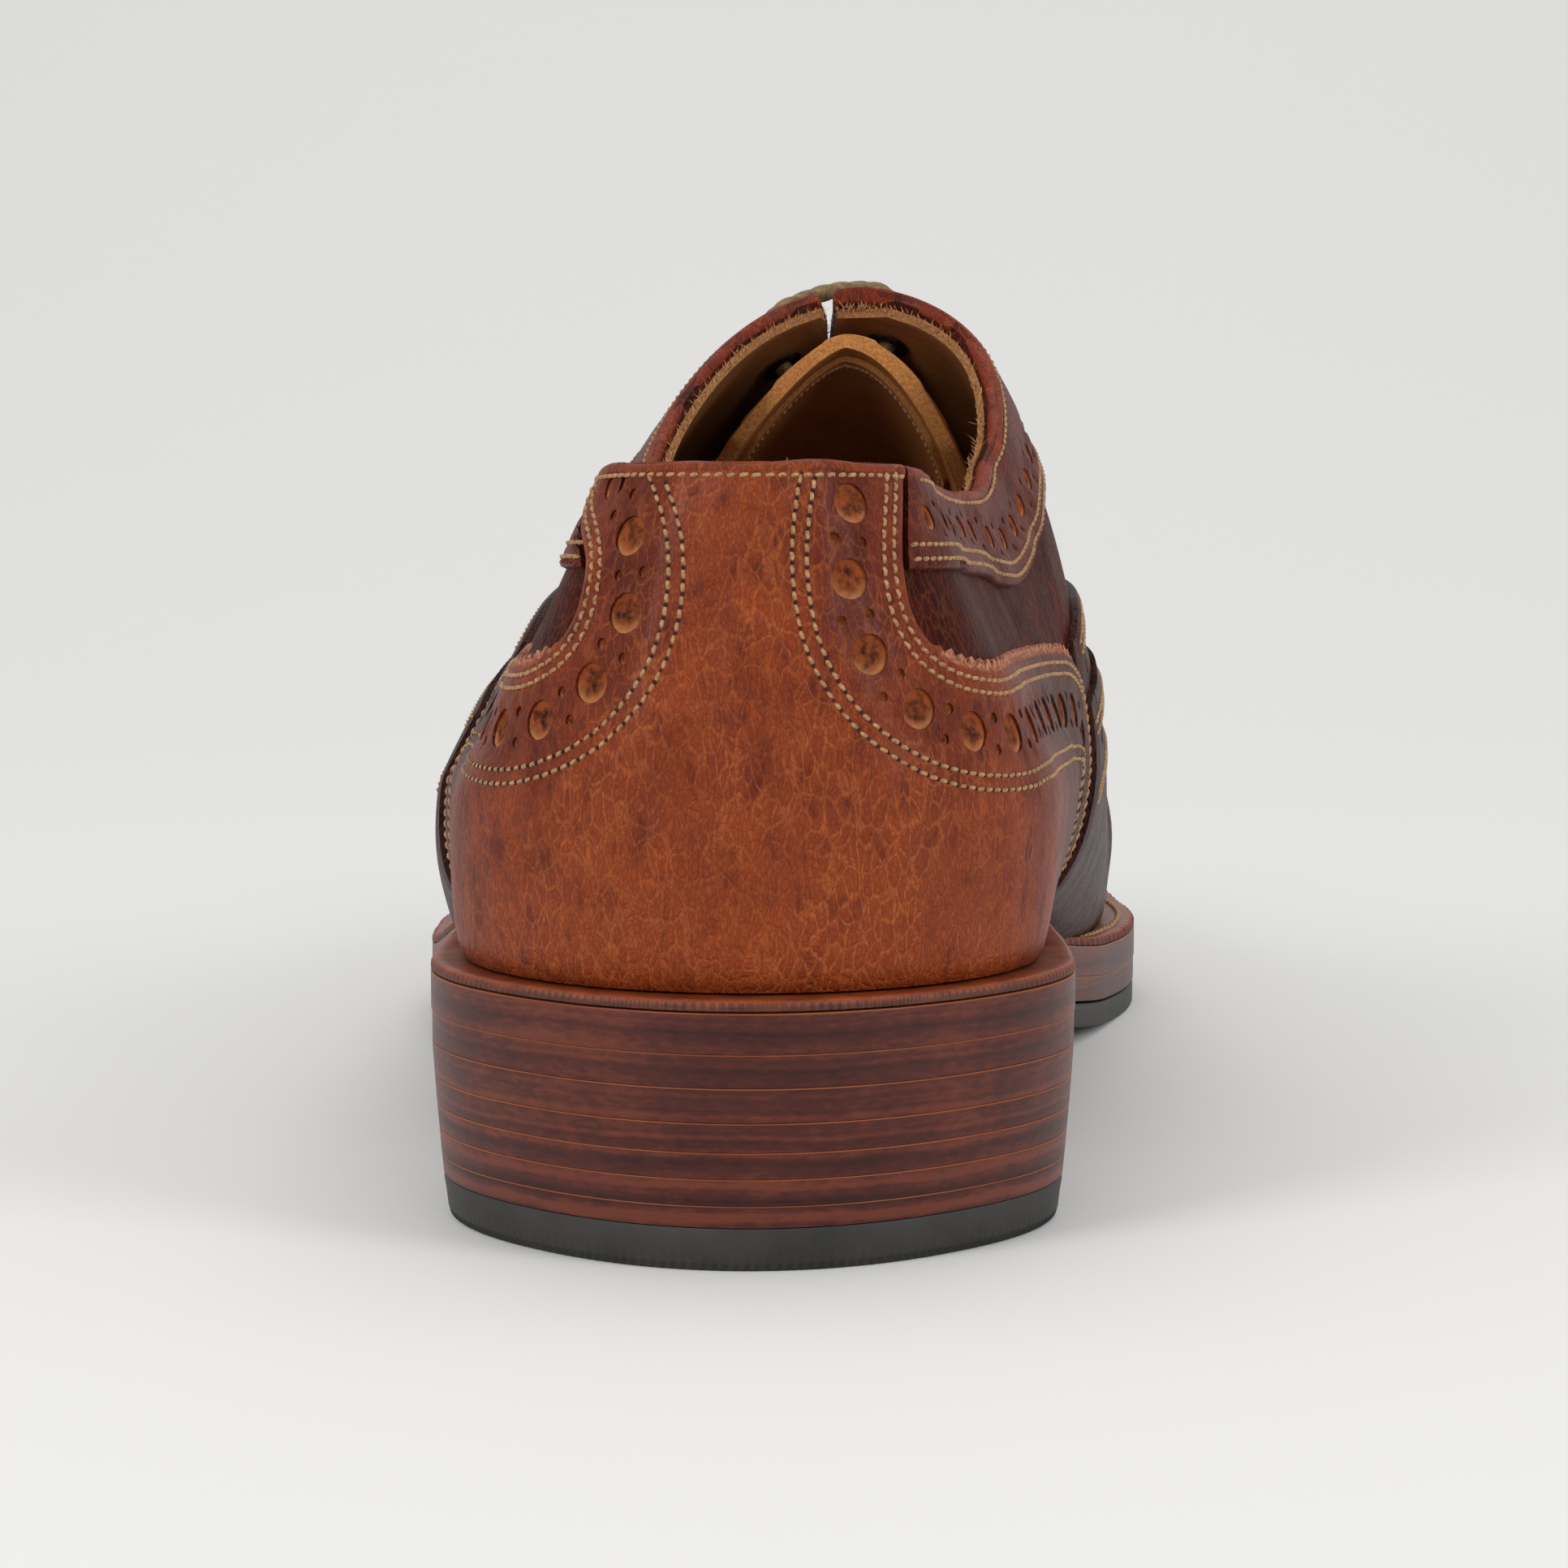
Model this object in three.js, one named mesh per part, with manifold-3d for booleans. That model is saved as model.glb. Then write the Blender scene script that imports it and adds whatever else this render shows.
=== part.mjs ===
// Full brogue shoe for the left foot: a low leather shoe with closed lacing, winged toe cap, heel counter
// and punched bands, on a stitched welt that runs right round, with a leather midsole and sole, a rubber
// forefoot sole and a heel stacked from leather lifts. Millimetres. +Y runs from heel to toe, +X to the
// inner side of the foot, +Z up. The shoe stands on z = 0, and its origin is on the floor at the middle of
// its length and width.

import * as THREE from "three";
import { mergeVertices } from "three/addons/utils/BufferGeometryUtils.js";
import Module from "manifold-3d";

const wasm = await Module();
wasm.setup();

// Driving sizes
const soleLength = 312;
const ballWidth = 110.5;
const heelWidth = 76;
const coneHeight = 84.3; // height of the uncut last above the insole, at the heel
const clearance = 0.3; // between pieces that touch

// Thickness of each layer under the foot
const weltThickness = 1.7;
const midsoleThickness = 4.1;
const leatherSoleThickness = 3.9;
const rubberSoleThickness = 4.0;
const insoleThickness = 3.0;
const liftThicknesses = [3.9, 3.3, 3.0, 3.0, 2.5]; // from the sole down
const topPieceThickness = 5.0;
const heelBreast = 80; // from the back of the heel to its front face
const breastHollow = 3; // how far the breast curves in
const heelTaper = 0.25; // each lift is this much smaller all round than the one above

// Thickness of the leather in the upper
const wallThickness = 2.0; // quarter or vamp with its lining
const overlayThickness = 1.2;
const vampThickness = 1.0;

// Lacing
const laceWidth = 2.4;
const eyeletPairs = 5;
const eyeletSpacing = 13;
const firstEyelet = 122; // from the back of the heel to the top pair
const eyeletInset = 8; // from the edge of the facing
const eyeletThickness = 0.5;
const eyeletReach = 3; // from its middle to its rim
const eyeletDip = 0.4; // so that its flat rim clears the curve of the lining
const facingGap = 2.6;
const throat = 187; // front end of the gap between the facings

// Tongue
const tongueThickness = 2.4;
const tongueTop = 104; // from the back of the heel to the middle of its top edge
const tongueEnd = 200;
const tongueHalfWidth = 31; // round the instep, at the top
const tongueSlack = 1.2; // its play under the laces

const heelStack = liftThicknesses.reduce((sum, lift) => sum + lift, topPieceThickness);
const soleStack = midsoleThickness + leatherSoleThickness + rubberSoleThickness;
const heelRise = heelStack - rubberSoleThickness; // how far the seat of the heel stands above the forefoot
const toeSpring = 11;
const seatHeight = heelRise + soleStack; // top of the midsole at the heel

// The last is swept round an axis: half a turn at the heel, straight along the foot, half a turn at the
// toe.
const heelRound = 0.474; // radius of the heel's turn, as a share of its width
const toeRound = 0.434; // radius of the toe's turn, as a share of the ball's width
const toeTightness = 0.9; // length of the toe's turn against that of a round one
const heelAxis = heelRound * heelWidth;
const toeAxis = soleLength - toeRound * ballWidth;
const straight = toeAxis - heelAxis;
const quarterTurn = Math.PI / 2;
const heelTurn = quarterTurn * heelAxis;
const toeTurn = quarterTurn * toeTightness * (soleLength - toeAxis);
const halfLoop = heelTurn + straight + toeTurn;

// A row for each section, from the back of the heel to the toe. stage: 0 to 1 turns round the heel, 1 to 2
// runs along the foot, 2 to 3 turns round the toe. sole, feather and wide: reach of the sole's edge, of the
// line where the upper meets the sole, and of the widest line, as shares of the heel's width up to stage 1
// and of the ball's beyond it. rise and top: heights of the widest line and of the ridge, as shares of
// coneHeight. side and crown: fullness of the wall and of the ridge. Out is the outer side of the foot, In
// the inner side.
const sections = rows(
  "stage soleOut soleIn featherOut featherIn wideOut wideIn rise top sideOut sideIn crownOut crownIn",
  [0.0, 0.474, 0.474, 0.39, 0.39, 0.425, 0.425, 0.237, 1.0, 0.6, 0.6, 0.75, 0.75],
  [0.5, 0.464, 0.464, 0.392, 0.392, 0.432, 0.432, 0.237, 1.0, 0.35, 0.35, 0.4, 0.4],
  [1.0, 0.5, 0.5, 0.418, 0.414, 0.46, 0.45, 0.237, 1.0, 0.03, 0.08, 0.1, 0.14],
  [1.149, 0.349, 0.328, 0.296, 0.276, 0.358, 0.33, 0.222, 1.01, 0.04, 0.12, 0.12, 0.22],
  [1.303, 0.38, 0.303, 0.32, 0.248, 0.408, 0.36, 0.2, 1.04, 0.06, 0.26, 0.42, 0.55],
  [1.456, 0.443, 0.348, 0.374, 0.29, 0.432, 0.385, 0.178, 0.94, 0.2, 0.32, 0.48, 0.58],
  [1.61, 0.5, 0.437, 0.426, 0.368, 0.448, 0.405, 0.154, 0.755, 0.32, 0.38, 0.54, 0.58],
  [1.741, 0.52, 0.482, 0.446, 0.41, 0.456, 0.415, 0.142, 0.575, 0.44, 0.46, 0.6, 0.6],
  [1.873, 0.487, 0.448, 0.414, 0.378, 0.42, 0.384, 0.13, 0.435, 0.54, 0.54, 0.62, 0.62],
  [2.0, 0.4, 0.378, 0.335, 0.315, 0.34, 0.32, 0.119, 0.325, 0.6, 0.6, 0.62, 0.62],
  [2.25, 0.373, 0.357, 0.309, 0.295, 0.313, 0.299, 0.113, 0.325, 0.6, 0.6, 0.6, 0.6],
  [2.5, 0.387, 0.382, 0.322, 0.317, 0.327, 0.322, 0.107, 0.325, 0.6, 0.6, 0.6, 0.6],
  [3.0, 0.434, 0.434, 0.37, 0.37, 0.375, 0.375, 0.095, 0.325, 0.65, 0.65, 0.6, 0.6],
);

// Along the foot, at shares of its length: how far the middle of the sole lies to the inner side, how far
// the ridge of the last leans beyond it, and how far the gap between the facings does, as shares of
// ballWidth.
const midline = rows(
  "at middle lean gap",
  [0.0, 0, 0, 0],
  [0.12, 0, 0.03, 0],
  [0.22, 0, 0.072, 0.04],
  [0.34, 0, 0.098, 0.066],
  [0.45, 0, 0.078, 0.062],
  [0.56, 0.004, 0.05, 0.046],
  [0.66, 0.013, 0.03, 0.03],
  [0.76, 0.022, 0.012, 0.012],
  [0.85, 0.027, 0, 0],
  [1.0, 0.027, 0, 0],
);

// Underside of the sole at shares of its length: shares of the heel's rise and of the toe's spring.
const underside = rows(
  "at rise spring",
  [0.0, 1, 0],
  [0.27, 1, 0],
  [0.33, 0.83, 0],
  [0.39, 0.6, 0],
  [0.45, 0.36, 0],
  [0.51, 0.16, 0],
  [0.57, 0.035, 0],
  [0.62, 0, 0],
  [0.71, 0, 0],
  [0.78, 0, 0.13],
  [0.86, 0, 0.42],
  [1.0, 0, 1],
);

// Edges of the panels seen from the side: distance from the back of the heel as a share of the length, and
// height above the insole at the heel as a share of coneHeight.
const topline = rows(
  "at height",
  [-0.03, 0.714],
  [0.0, 0.714],
  [0.06, 0.706],
  [0.12, 0.684],
  [0.18, 0.662],
  [0.235, 0.67],
  [0.272, 0.73],
  [0.306, 0.81],
  [0.338, 0.892],
  [0.362, 0.955],
  [0.376, 1.0],
);
const facingEdge = rows(
  "at height",
  [0.03, 0.575],
  [0.1, 0.565],
  [0.17, 0.548],
  [0.235, 0.525],
  [0.28, 0.57],
  [0.325, 0.65],
  [0.37, 0.7],
  [0.41, 0.695],
  [0.45, 0.64],
  [0.49, 0.575],
  [0.53, 0.51],
  [0.57, 0.44],
  [0.6, 0.38],
);
const counterTop = rows(
  "at height",
  [-0.05, 0.436],
  [0.08, 0.436],
  [0.17, 0.428],
  [0.24, 0.42],
  [0.278, 0.404],
  [0.3, 0.362],
  [0.307, 0.3],
);
const vampEdge = rows(
  "at height",
  [0.29, 0.385],
  [0.315, 0.43],
  [0.35, 0.475],
  [0.41, 0.503],
  [0.48, 0.514],
  [0.55, 0.512],
  [0.59, 0.508],
  [0.61, 0.56],
);
const wingEdge = rows(
  "at height",
  [0.29, 0.29],
  [0.34, 0.34],
  [0.4, 0.37],
  [0.46, 0.375],
  [0.52, 0.35],
  [0.58, 0.3],
  [0.64, 0.232],
  [0.7, 0.17],
  [0.76, 0.13],
  [0.83, 0.105],
);
// The wing's peak and the dip beside it seen from above: outwards from the middle, as a share of the ball's
// width, and along the foot.
const wingPeak = rows(
  "out at",
  [0.0, 0.752],
  [0.05, 0.768],
  [0.11, 0.8],
  [0.17, 0.823],
  [0.24, 0.83],
  [0.3, 0.81],
  [0.36, 0.77],
);
// Half of the strap that climbs the back of the heel, seen from behind: outwards, as a share of the heel's
// width, and height as above.
const strapEdge = rows(
  "out height",
  [0.232, 0.8],
  [0.232, 0.68],
  [0.235, 0.56],
  [0.246, 0.515],
  [0.268, 0.48],
  [0.302, 0.455],
  [0.35, 0.438],
  [0.42, 0.424],
);

// Rows of a table under its columns' names.
function rows(columns, ...lines) {
  const names = columns.split(" ");
  return lines.map((line) => Object.fromEntries(names.map((name, i) => [name, line[i]])));
}

// A smooth curve through rows that never overshoots them.
function smooth(xs, ys) {
  const steps = xs.slice(1).map((x, i) => x - xs[i]);
  const slopes = steps.map((h, i) => (ys[i + 1] - ys[i]) / h);
  const tangents = xs.map((_, i) => {
    if (i === 0) return slopes[0];
    if (i === xs.length - 1) return slopes[i - 1];
    const [a, b] = [slopes[i - 1], slopes[i]];
    if (a * b <= 0) return 0;
    const [wa, wb] = [2 * steps[i] + steps[i - 1], steps[i] + 2 * steps[i - 1]];
    return (wa + wb) / (wa / a + wb / b);
  });
  return (x) => {
    if (x <= xs[0]) return ys[0];
    if (x >= xs.at(-1)) return ys.at(-1);
    const i = xs.findIndex((edge) => edge > x) - 1;
    return hermite(ys[i], ys[i + 1], tangents[i], tangents[i + 1], steps[i], (x - xs[i]) / steps[i]);
  };
}

function hermite(a, b, slopeA, slopeB, step, u) {
  const v = 1 - u;
  const ends = (1 + 2 * u) * v * v * a + (1 + 2 * v) * u * u * b;
  return ends + step * u * v * (v * slopeA - u * slopeB);
}

// Distance along the sweep at a stage of the table.
function sweepAt(stage) {
  if (stage <= 1) return stage * heelTurn;
  if (stage <= 2) return heelTurn + (stage - 1) * straight;
  return heelTurn + straight + (stage - 2) * toeTurn;
}

// One value of the sections round the whole loop: up the inner side to the toe and back down the outer
// side.
function roundLoop(pick) {
  const inner = sections.map((row) => [sweepAt(row.stage), pick(row, "In")]);
  const between = sections.slice(1, -1).reverse();
  const outer = between.map((row) => [2 * halfLoop - sweepAt(row.stage), pick(row, "Out")]);
  const knots = [...inner, ...outer];
  const count = knots.length;
  const at = (i) => {
    const turn = Math.floor(i / count);
    const [x, y] = knots[i - turn * count];
    return [x + turn * 2 * halfLoop, y];
  };
  const slope = (i) => (at(i + 1)[1] - at(i - 1)[1]) / (at(i + 1)[0] - at(i - 1)[0]);
  return (sweep) => {
    const x = sweep < 0 ? sweep + 2 * halfLoop : sweep;
    let i = knots.findIndex((knot) => knot[0] > x) - 1;
    if (i < 0) i = count - 1;
    const [[x0, y0], [x1, y1]] = [at(i), at(i + 1)];
    return hermite(y0, y1, slope(i), slope(i + 1), x1 - x0, (x - x0) / (x1 - x0));
  };
}

const widthOf = (row) => (row.stage > 1 ? ballWidth : heelWidth);
const reachOf = (name) => roundLoop((row, side) => widthOf(row) * row[name + side]);
const soleReach = reachOf("sole");
const featherReach = reachOf("feather");
const wideReach = reachOf("wide");
const wideRise = roundLoop((row) => coneHeight * row.rise);
const ridgeRise = roundLoop((row) => coneHeight * row.top);
const sideFullness = roundLoop((row, side) => row[`side${side}`]);
const crownFullness = roundLoop((row, side) => row[`crown${side}`]);
const alongFoot = (table, value) => smooth(table.map((row) => soleLength * row.at), table.map(value));
const middleAt = alongFoot(midline, (row) => ballWidth * row.middle);
const leanAt = alongFoot(midline, (row) => ballWidth * row.lean);
const gapAt = alongFoot(midline, (row) => ballWidth * (row.middle + row.gap));
const undersideAt = alongFoot(underside, (row) => heelRise * row.rise + toeSpring * row.spring);
const featherHeight = (y) => undersideAt(y) + soleStack;

// How each column of the last bends: it swells out low over the feather edge, then stands up to the widest
// line.
const swellOut = 0.75; // share of the swell reached at swellUp of the height
const swellUp = 0.1;
const standUp = 0.55; // share of the height over which it stands upright below the widest line
const crownSlope = 0.2; // fall of the ridge towards the toe, where it meets the toe's crown

// The upright half-plane at a place on the loop; sweep is positive on the inner side.
function planeAt(sweep) {
  const side = sweep < 0 ? -1 : 1;
  const distance = Math.abs(sweep);
  if (distance < heelTurn) {
    const angle = distance / heelAxis;
    return { x: middleAt(heelAxis), y: heelAxis, dx: side * Math.sin(angle), dy: -Math.cos(angle) };
  }
  if (distance < heelTurn + straight) {
    const y = heelAxis + distance - heelTurn;
    return { x: middleAt(y), y, dx: side, dy: 0 };
  }
  const angle = (quarterTurn * (distance - heelTurn - straight)) / toeTurn;
  return { x: middleAt(toeAxis), y: toeAxis, dx: side * Math.cos(angle), dy: Math.sin(angle) };
}

function bezier([a, b, c, d], u) {
  const v = 1 - u;
  const value = (k) => v * v * v * a[k] + 3 * v * v * u * b[k] + 3 * v * u * u * c[k] + u * u * u * d[k];
  const slope = (k) => 3 * (v * v * (b[k] - a[k]) + 2 * v * u * (c[k] - b[k]) + u * u * (d[k] - c[k]));
  return { out: value(0), up: value(1), slopeOut: slope(0), slopeUp: slope(1) };
}

const wallShare = 0.3; // share of each column that lies below the widest line

// A point of the last at a place on the loop and up its wall, 0 at the feather edge and 1 on the ridge.
function lastPoint(sweep, climb, offset) {
  const plane = planeAt(sweep);
  const feather = featherReach(sweep);
  const footY = plane.y + plane.dy * feather;
  const foot = featherHeight(footY) + clearance;
  const wide = wideReach(sweep);
  const wideHeight = foot + wideRise(sweep);
  const onToe = Math.abs(sweep) > heelTurn + straight;
  const ridgeY = onToe ? toeAxis : plane.y;
  const ridge = featherHeight(ridgeY) + (onToe ? coneHeight * sections.at(-1).top : ridgeRise(sweep));
  const swell = wide - feather;
  const wall = [
    [feather, foot],
    [feather + swellOut * swell, foot + swellUp * (wideHeight - foot)],
    [wide, wideHeight - standUp * (wideHeight - foot)],
    [wide, wideHeight],
  ];
  const reach = crownFullness(sweep) * wide;
  const top = [
    [wide, wideHeight],
    [wide, wideHeight + sideFullness(sweep) * (ridge - wideHeight)],
    [reach, ridge - crownSlope * Math.max(plane.dy, 0) * reach],
    [0, ridge],
  ];
  const inWall = climb < wallShare;
  const on = inWall ? bezier(wall, climb / wallShare) : bezier(top, (climb - wallShare) / (1 - wallShare));
  const size = Math.hypot(on.slopeOut, on.slopeUp);
  let out = on.out + (offset * on.slopeUp) / size;
  let up = on.up - (offset * on.slopeOut) / size;
  if (climb >= 1) [out, up] = [0, ridge + offset];
  const y = plane.y + plane.dy * out;
  const lean = (leanAt(y) * (up - foot)) / (ridge - foot);
  return [plane.x + plane.dx * out + lean, y, up];
}

// Joins triangles into a closed solid. Points are put on a fine grid, so that those that meet are equal,
// and triangles with no area are dropped.
const gridPerMillimetre = 256;
function solidFrom(triangles) {
  const onGrid = triangles.map((corners) => corners.map((point) => point.map(toGrid)));
  const kept = onGrid.filter(([a, b, c]) => !same(a, b) && !same(b, c) && !same(c, a));
  const geometry = new THREE.BufferGeometry();
  geometry.setAttribute("position", new THREE.Float32BufferAttribute(kept.flat(2), 3));
  return solidOf(geometry);
}

function toGrid(value) {
  return Math.round(value * gridPerMillimetre) / gridPerMillimetre;
}

function same(a, b) {
  return a.every((value, i) => value === b[i]);
}

function solidOf(geometry) {
  const bare = geometry.index ? geometry.toNonIndexed() : geometry;
  bare.deleteAttribute("normal");
  bare.deleteAttribute("uv");
  const merged = mergeVertices(bare, 1e-3);
  return new wasm.Manifold(
    new wasm.Mesh({
      numProp: 3,
      vertProperties: merged.attributes.position.array,
      triVerts: new Uint32Array(merged.index.array),
    }),
  );
}

function quad(a, b, c, d) {
  return [
    [a, b, c],
    [a, c, d],
  ];
}

// Places along half the loop where sections are cut.
const heelSteps = 6;
const straightSteps = 14;
const toeSteps = 6;
const stations = [
  ...Array.from({ length: heelSteps }, (_, i) => (heelTurn * i) / heelSteps),
  ...Array.from({ length: straightSteps }, (_, i) => heelTurn + (straight * i) / straightSteps),
  ...Array.from({ length: toeSteps + 1 }, (_, i) => heelTurn + straight + (toeTurn * i) / toeSteps),
];
const climbs = [0, 0.12, 0.3, 0.44, 0.58, 0.71, 0.83, 0.93, 1];

// The whole last, swollen by offset, with its foot let down by drop.
function last(offset, drop = 0) {
  const column = (sweep) => {
    const points = climbs.map((climb) => lastPoint(sweep, climb, offset));
    if (drop) points.unshift([points[0][0], points[0][1], points[0][2] - drop]);
    return points;
  };
  const inner = stations.map((sweep) => column(sweep));
  const outer = stations.map((sweep) => column(-sweep));
  const faces = [];
  for (let i = 0; i + 1 < stations.length; i++) {
    for (let j = 0; j + 1 < inner[0].length; j++) {
      faces.push(...quad(inner[i][j], inner[i + 1][j], inner[i + 1][j + 1], inner[i][j + 1]));
      faces.push(...quad(outer[i][j], outer[i][j + 1], outer[i + 1][j + 1], outer[i + 1][j]));
    }
    faces.push(...quad(inner[i][0], outer[i][0], outer[i + 1][0], inner[i + 1][0]));
  }
  return solidFrom(faces);
}

// A flat layer of the sole between two heights that follow the foot, with its edge at reach from the axis.
function plate(reach, low, high) {
  const edge = (sweep, height) => {
    const plane = planeAt(sweep);
    const out = reach(sweep);
    const y = plane.y + plane.dy * out;
    return [plane.x + plane.dx * out, y, height(y)];
  };
  const rim = (side, height) => stations.map((sweep) => edge(side * sweep, height));
  const [innerLow, outerLow] = [rim(1, low), rim(-1, low)];
  const [innerHigh, outerHigh] = [rim(1, high), rim(-1, high)];
  const faces = [];
  for (let i = 0; i + 1 < stations.length; i++) {
    faces.push(...quad(innerLow[i], outerLow[i], outerLow[i + 1], innerLow[i + 1]));
    faces.push(...quad(innerHigh[i], innerHigh[i + 1], outerHigh[i + 1], outerHigh[i]));
    faces.push(...quad(innerLow[i], innerLow[i + 1], innerHigh[i + 1], innerHigh[i]));
    faces.push(...quad(outerLow[i], outerHigh[i], outerHigh[i + 1], outerLow[i + 1]));
  }
  return solidFrom(faces);
}

// A prism through the whole shoe: its outline lies in the side, back or top view.
const farOut = 200;
function prism(outline, view) {
  const shape = new THREE.Shape(outline.map(([a, b]) => new THREE.Vector2(a, b)));
  const geometry = new THREE.ExtrudeGeometry(shape, { depth: 2 * farOut, bevelEnabled: false });
  geometry.translate(0, 0, -farOut);
  if (view === "side") geometry.rotateZ(quarterTurn).rotateY(quarterTurn);
  if (view === "back") geometry.rotateX(quarterTurn);
  return solidOf(geometry);
}

const onSide = (table) => {
  return table.map((row) => [soleLength * row.at, seatHeight + coneHeight * row.height]);
};
const sky = 2 * coneHeight + seatHeight;

// Evenly spaced places on a smooth curve through an edge's points.
function fair(points, steps) {
  const curve = new THREE.SplineCurve(points.map(([a, b]) => new THREE.Vector2(a, b)));
  return curve.getPoints(steps).map((point) => [point.x, point.y]);
}

// The mouth of the shoe, and the gap between the facings down to the throat.
const toplinePoints = fair(onSide(topline), 24);
const [[, toplineBack], [mouthFront]] = [toplinePoints[0], toplinePoints.at(-1)];
const mouth = prism(
  [...toplinePoints, [mouthFront, sky], [-farOut, sky], [-farOut, toplineBack]],
  "side",
);
const gapSteps = 8;
const gapEnds = [mouthFront - 1, throat]; // its back end lies inside the mouth
const gapPlaces = Array.from({ length: gapSteps + 1 }, (_, i) => {
  return gapEnds[0] + ((gapEnds[1] - gapEnds[0]) * i) / gapSteps;
});
const gapEdge = (side) => gapPlaces.map((y) => [gapAt(y) + (side * facingGap) / 2, y]);
const throatFoot = featherHeight(throat);
const aboveThroat = prism([[0, throatFoot], [soleLength, throatFoot], [soleLength, sky], [0, sky]], "side");
const slit = prism([...gapEdge(1), ...gapEdge(-1).reverse()], "top").intersect(aboveThroat);

const opening = mouth.add(slit);
const aboveWelt = weltThickness + clearance;
const wellOutside = 20; // beyond the sole's edge
const underWelt = plate(
  (sweep) => soleReach(sweep) + wellOutside,
  () => -farOut,
  (y) => featherHeight(y) + aboveWelt,
);

// A place on the last, reached by walking a distance over it from the ridge, inwards where it is positive.
const climbStep = 0.004;
function acrossRidge(y, distance, offset) {
  const sweep = Math.sign(distance || 1) * (heelTurn + y - heelAxis);
  let climb = 1;
  let travelled = 0;
  let here = lastPoint(sweep, climb, offset);
  while (travelled < Math.abs(distance) && climb > wallShare) {
    climb -= climbStep;
    const next = lastPoint(sweep, climb, offset);
    travelled += Math.hypot(next[0] - here[0], next[1] - here[1], next[2] - here[2]);
    here = next;
  }
  return { sweep, climb };
}

const onLast = ({ sweep, climb }, height) => new THREE.Vector3(...lastPoint(sweep, climb, height));

// Direction square to the last at a place.
function squareTo({ sweep, climb }) {
  const along = onLast({ sweep: sweep + 1, climb }, 0).sub(onLast({ sweep: sweep - 1, climb }, 0));
  const [high, low] = [climb + climbStep, climb - climbStep].map((at) => onLast({ sweep, climb: at }, 0));
  return along.cross(high.sub(low)).normalize();
}

// Eyelets: a hole through facing and quarter, square to the leather, on each side of the gap.
const eyeletHole = laceWidth / 2 + 0.5;
const eyeletSides = 8;
const shiftOf = (y) => middleAt(y) + leanAt(y) - gapAt(y);
function eyelet(pair, side) {
  const y = firstEyelet + pair * eyeletSpacing;
  const place = acrossRidge(y, side * (eyeletInset + facingGap / 2 - side * shiftOf(y)), 0);
  const spot = onLast(place, 0);
  const normal = squareTo(place);
  const turn = new THREE.Quaternion().setFromUnitVectors(new THREE.Vector3(0, 1, 0), normal);
  const frame = new THREE.Matrix4().compose(spot, turn, new THREE.Vector3(1, 1, 1));
  return { pair, side, y, spot, normal, frame };
}

const pairs = Array.from({ length: eyeletPairs }, (_, pair) => pair);
const eyelets = pairs.flatMap((pair) => [eyelet(pair, -1), eyelet(pair, 1)]);
const throughLeather = 12;
const eyeletHoles = eyelets
  .map(({ frame }) => {
    const cylinder = new THREE.CylinderGeometry(eyeletHole, eyeletHole, throughLeather, eyeletSides);
    return solidOf(cylinder.applyMatrix4(frame));
  })
  .reduce((all, hole) => all.add(hole));

// Leather shell between two offsets of the last.
const footDrop = 3;
const shell = (low, high) => last(high).subtract(last(low, footDrop));
const farAhead = 2 * soleLength;
const forwardOf = (y) => prism([[y, -sky], [farAhead, -sky], [farAhead, sky], [y, sky]], "side");

// Upper: the quarters and the ground of the vamp with their lining, open at the collar, gap and sole.
const cavity = last(-wallThickness, soleStack);
const upper = last(0).subtract(cavity).subtract(opening).subtract(eyeletHoles);

// Counter round the heel, with the strap that climbs to the topline at the back.
const overlay = shell(clearance, clearance + overlayThickness).subtract(underWelt);
const strapPoints = strapEdge.map((row) => [heelWidth * row.out, seatHeight + coneHeight * row.height]);
const strapCurve = fair(strapPoints, 12);
const strapMirror = strapCurve.map(([x, z]) => [-x, z]).reverse();
const strapPrism = prism([...strapCurve, ...strapMirror], "back").intersect(
  prism([[-farOut, 0], [heelAxis, 0], [heelAxis, sky], [-farOut, sky]], "side"),
);
const counterPoints = fair(onSide(counterTop), 16);
const [counterFront] = counterPoints.at(-1);
const counterPrism = prism(
  [...counterPoints, [counterFront, 0], [-farOut, 0], [-farOut, counterPoints[0][1]]],
  "side",
);
const counterRegion = counterPrism.add(strapPrism);
const counter = overlay.intersect(counterRegion).subtract(mouth);

// Facings with the band that follows the topline, on each side of the gap.
const facingPoints = fair(onSide(facingEdge), 22);
const [[facingBack], [facingFront]] = [facingPoints[0], facingPoints.at(-1)];
const facingPrism = prism([...facingPoints, [facingFront, sky], [facingBack, sky]], "side");
const vampPoints = fair(onSide(vampEdge), 16);
const vampPrism = prism(
  [...vampPoints, [2 * soleLength, vampPoints.at(-1)[1]], [2 * soleLength, 0], [vampPoints[0][0], 0]],
  "side",
);
const behind = (region, gap) =>
  region.translate([0, -gap, 0]).add(region.translate([0, 0, gap])).add(region);
const nearStrap = strapPrism.translate([clearance, 0, 0]).add(strapPrism.translate([-clearance, 0, 0]));
const facings = overlay
  .intersect(facingPrism)
  .subtract(opening)
  .subtract(behind(vampPrism, clearance))
  .subtract(nearStrap)
  .subtract(eyeletHoles);
const halfSpace = (side) => {
  const middle = [[0, 0], ...gapPlaces.map((y) => [gapAt(y), y]), [gapAt(soleLength), soleLength]];
  return prism([...middle, [side * farOut, soleLength], [side * farOut, 0]], "top");
};

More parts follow.
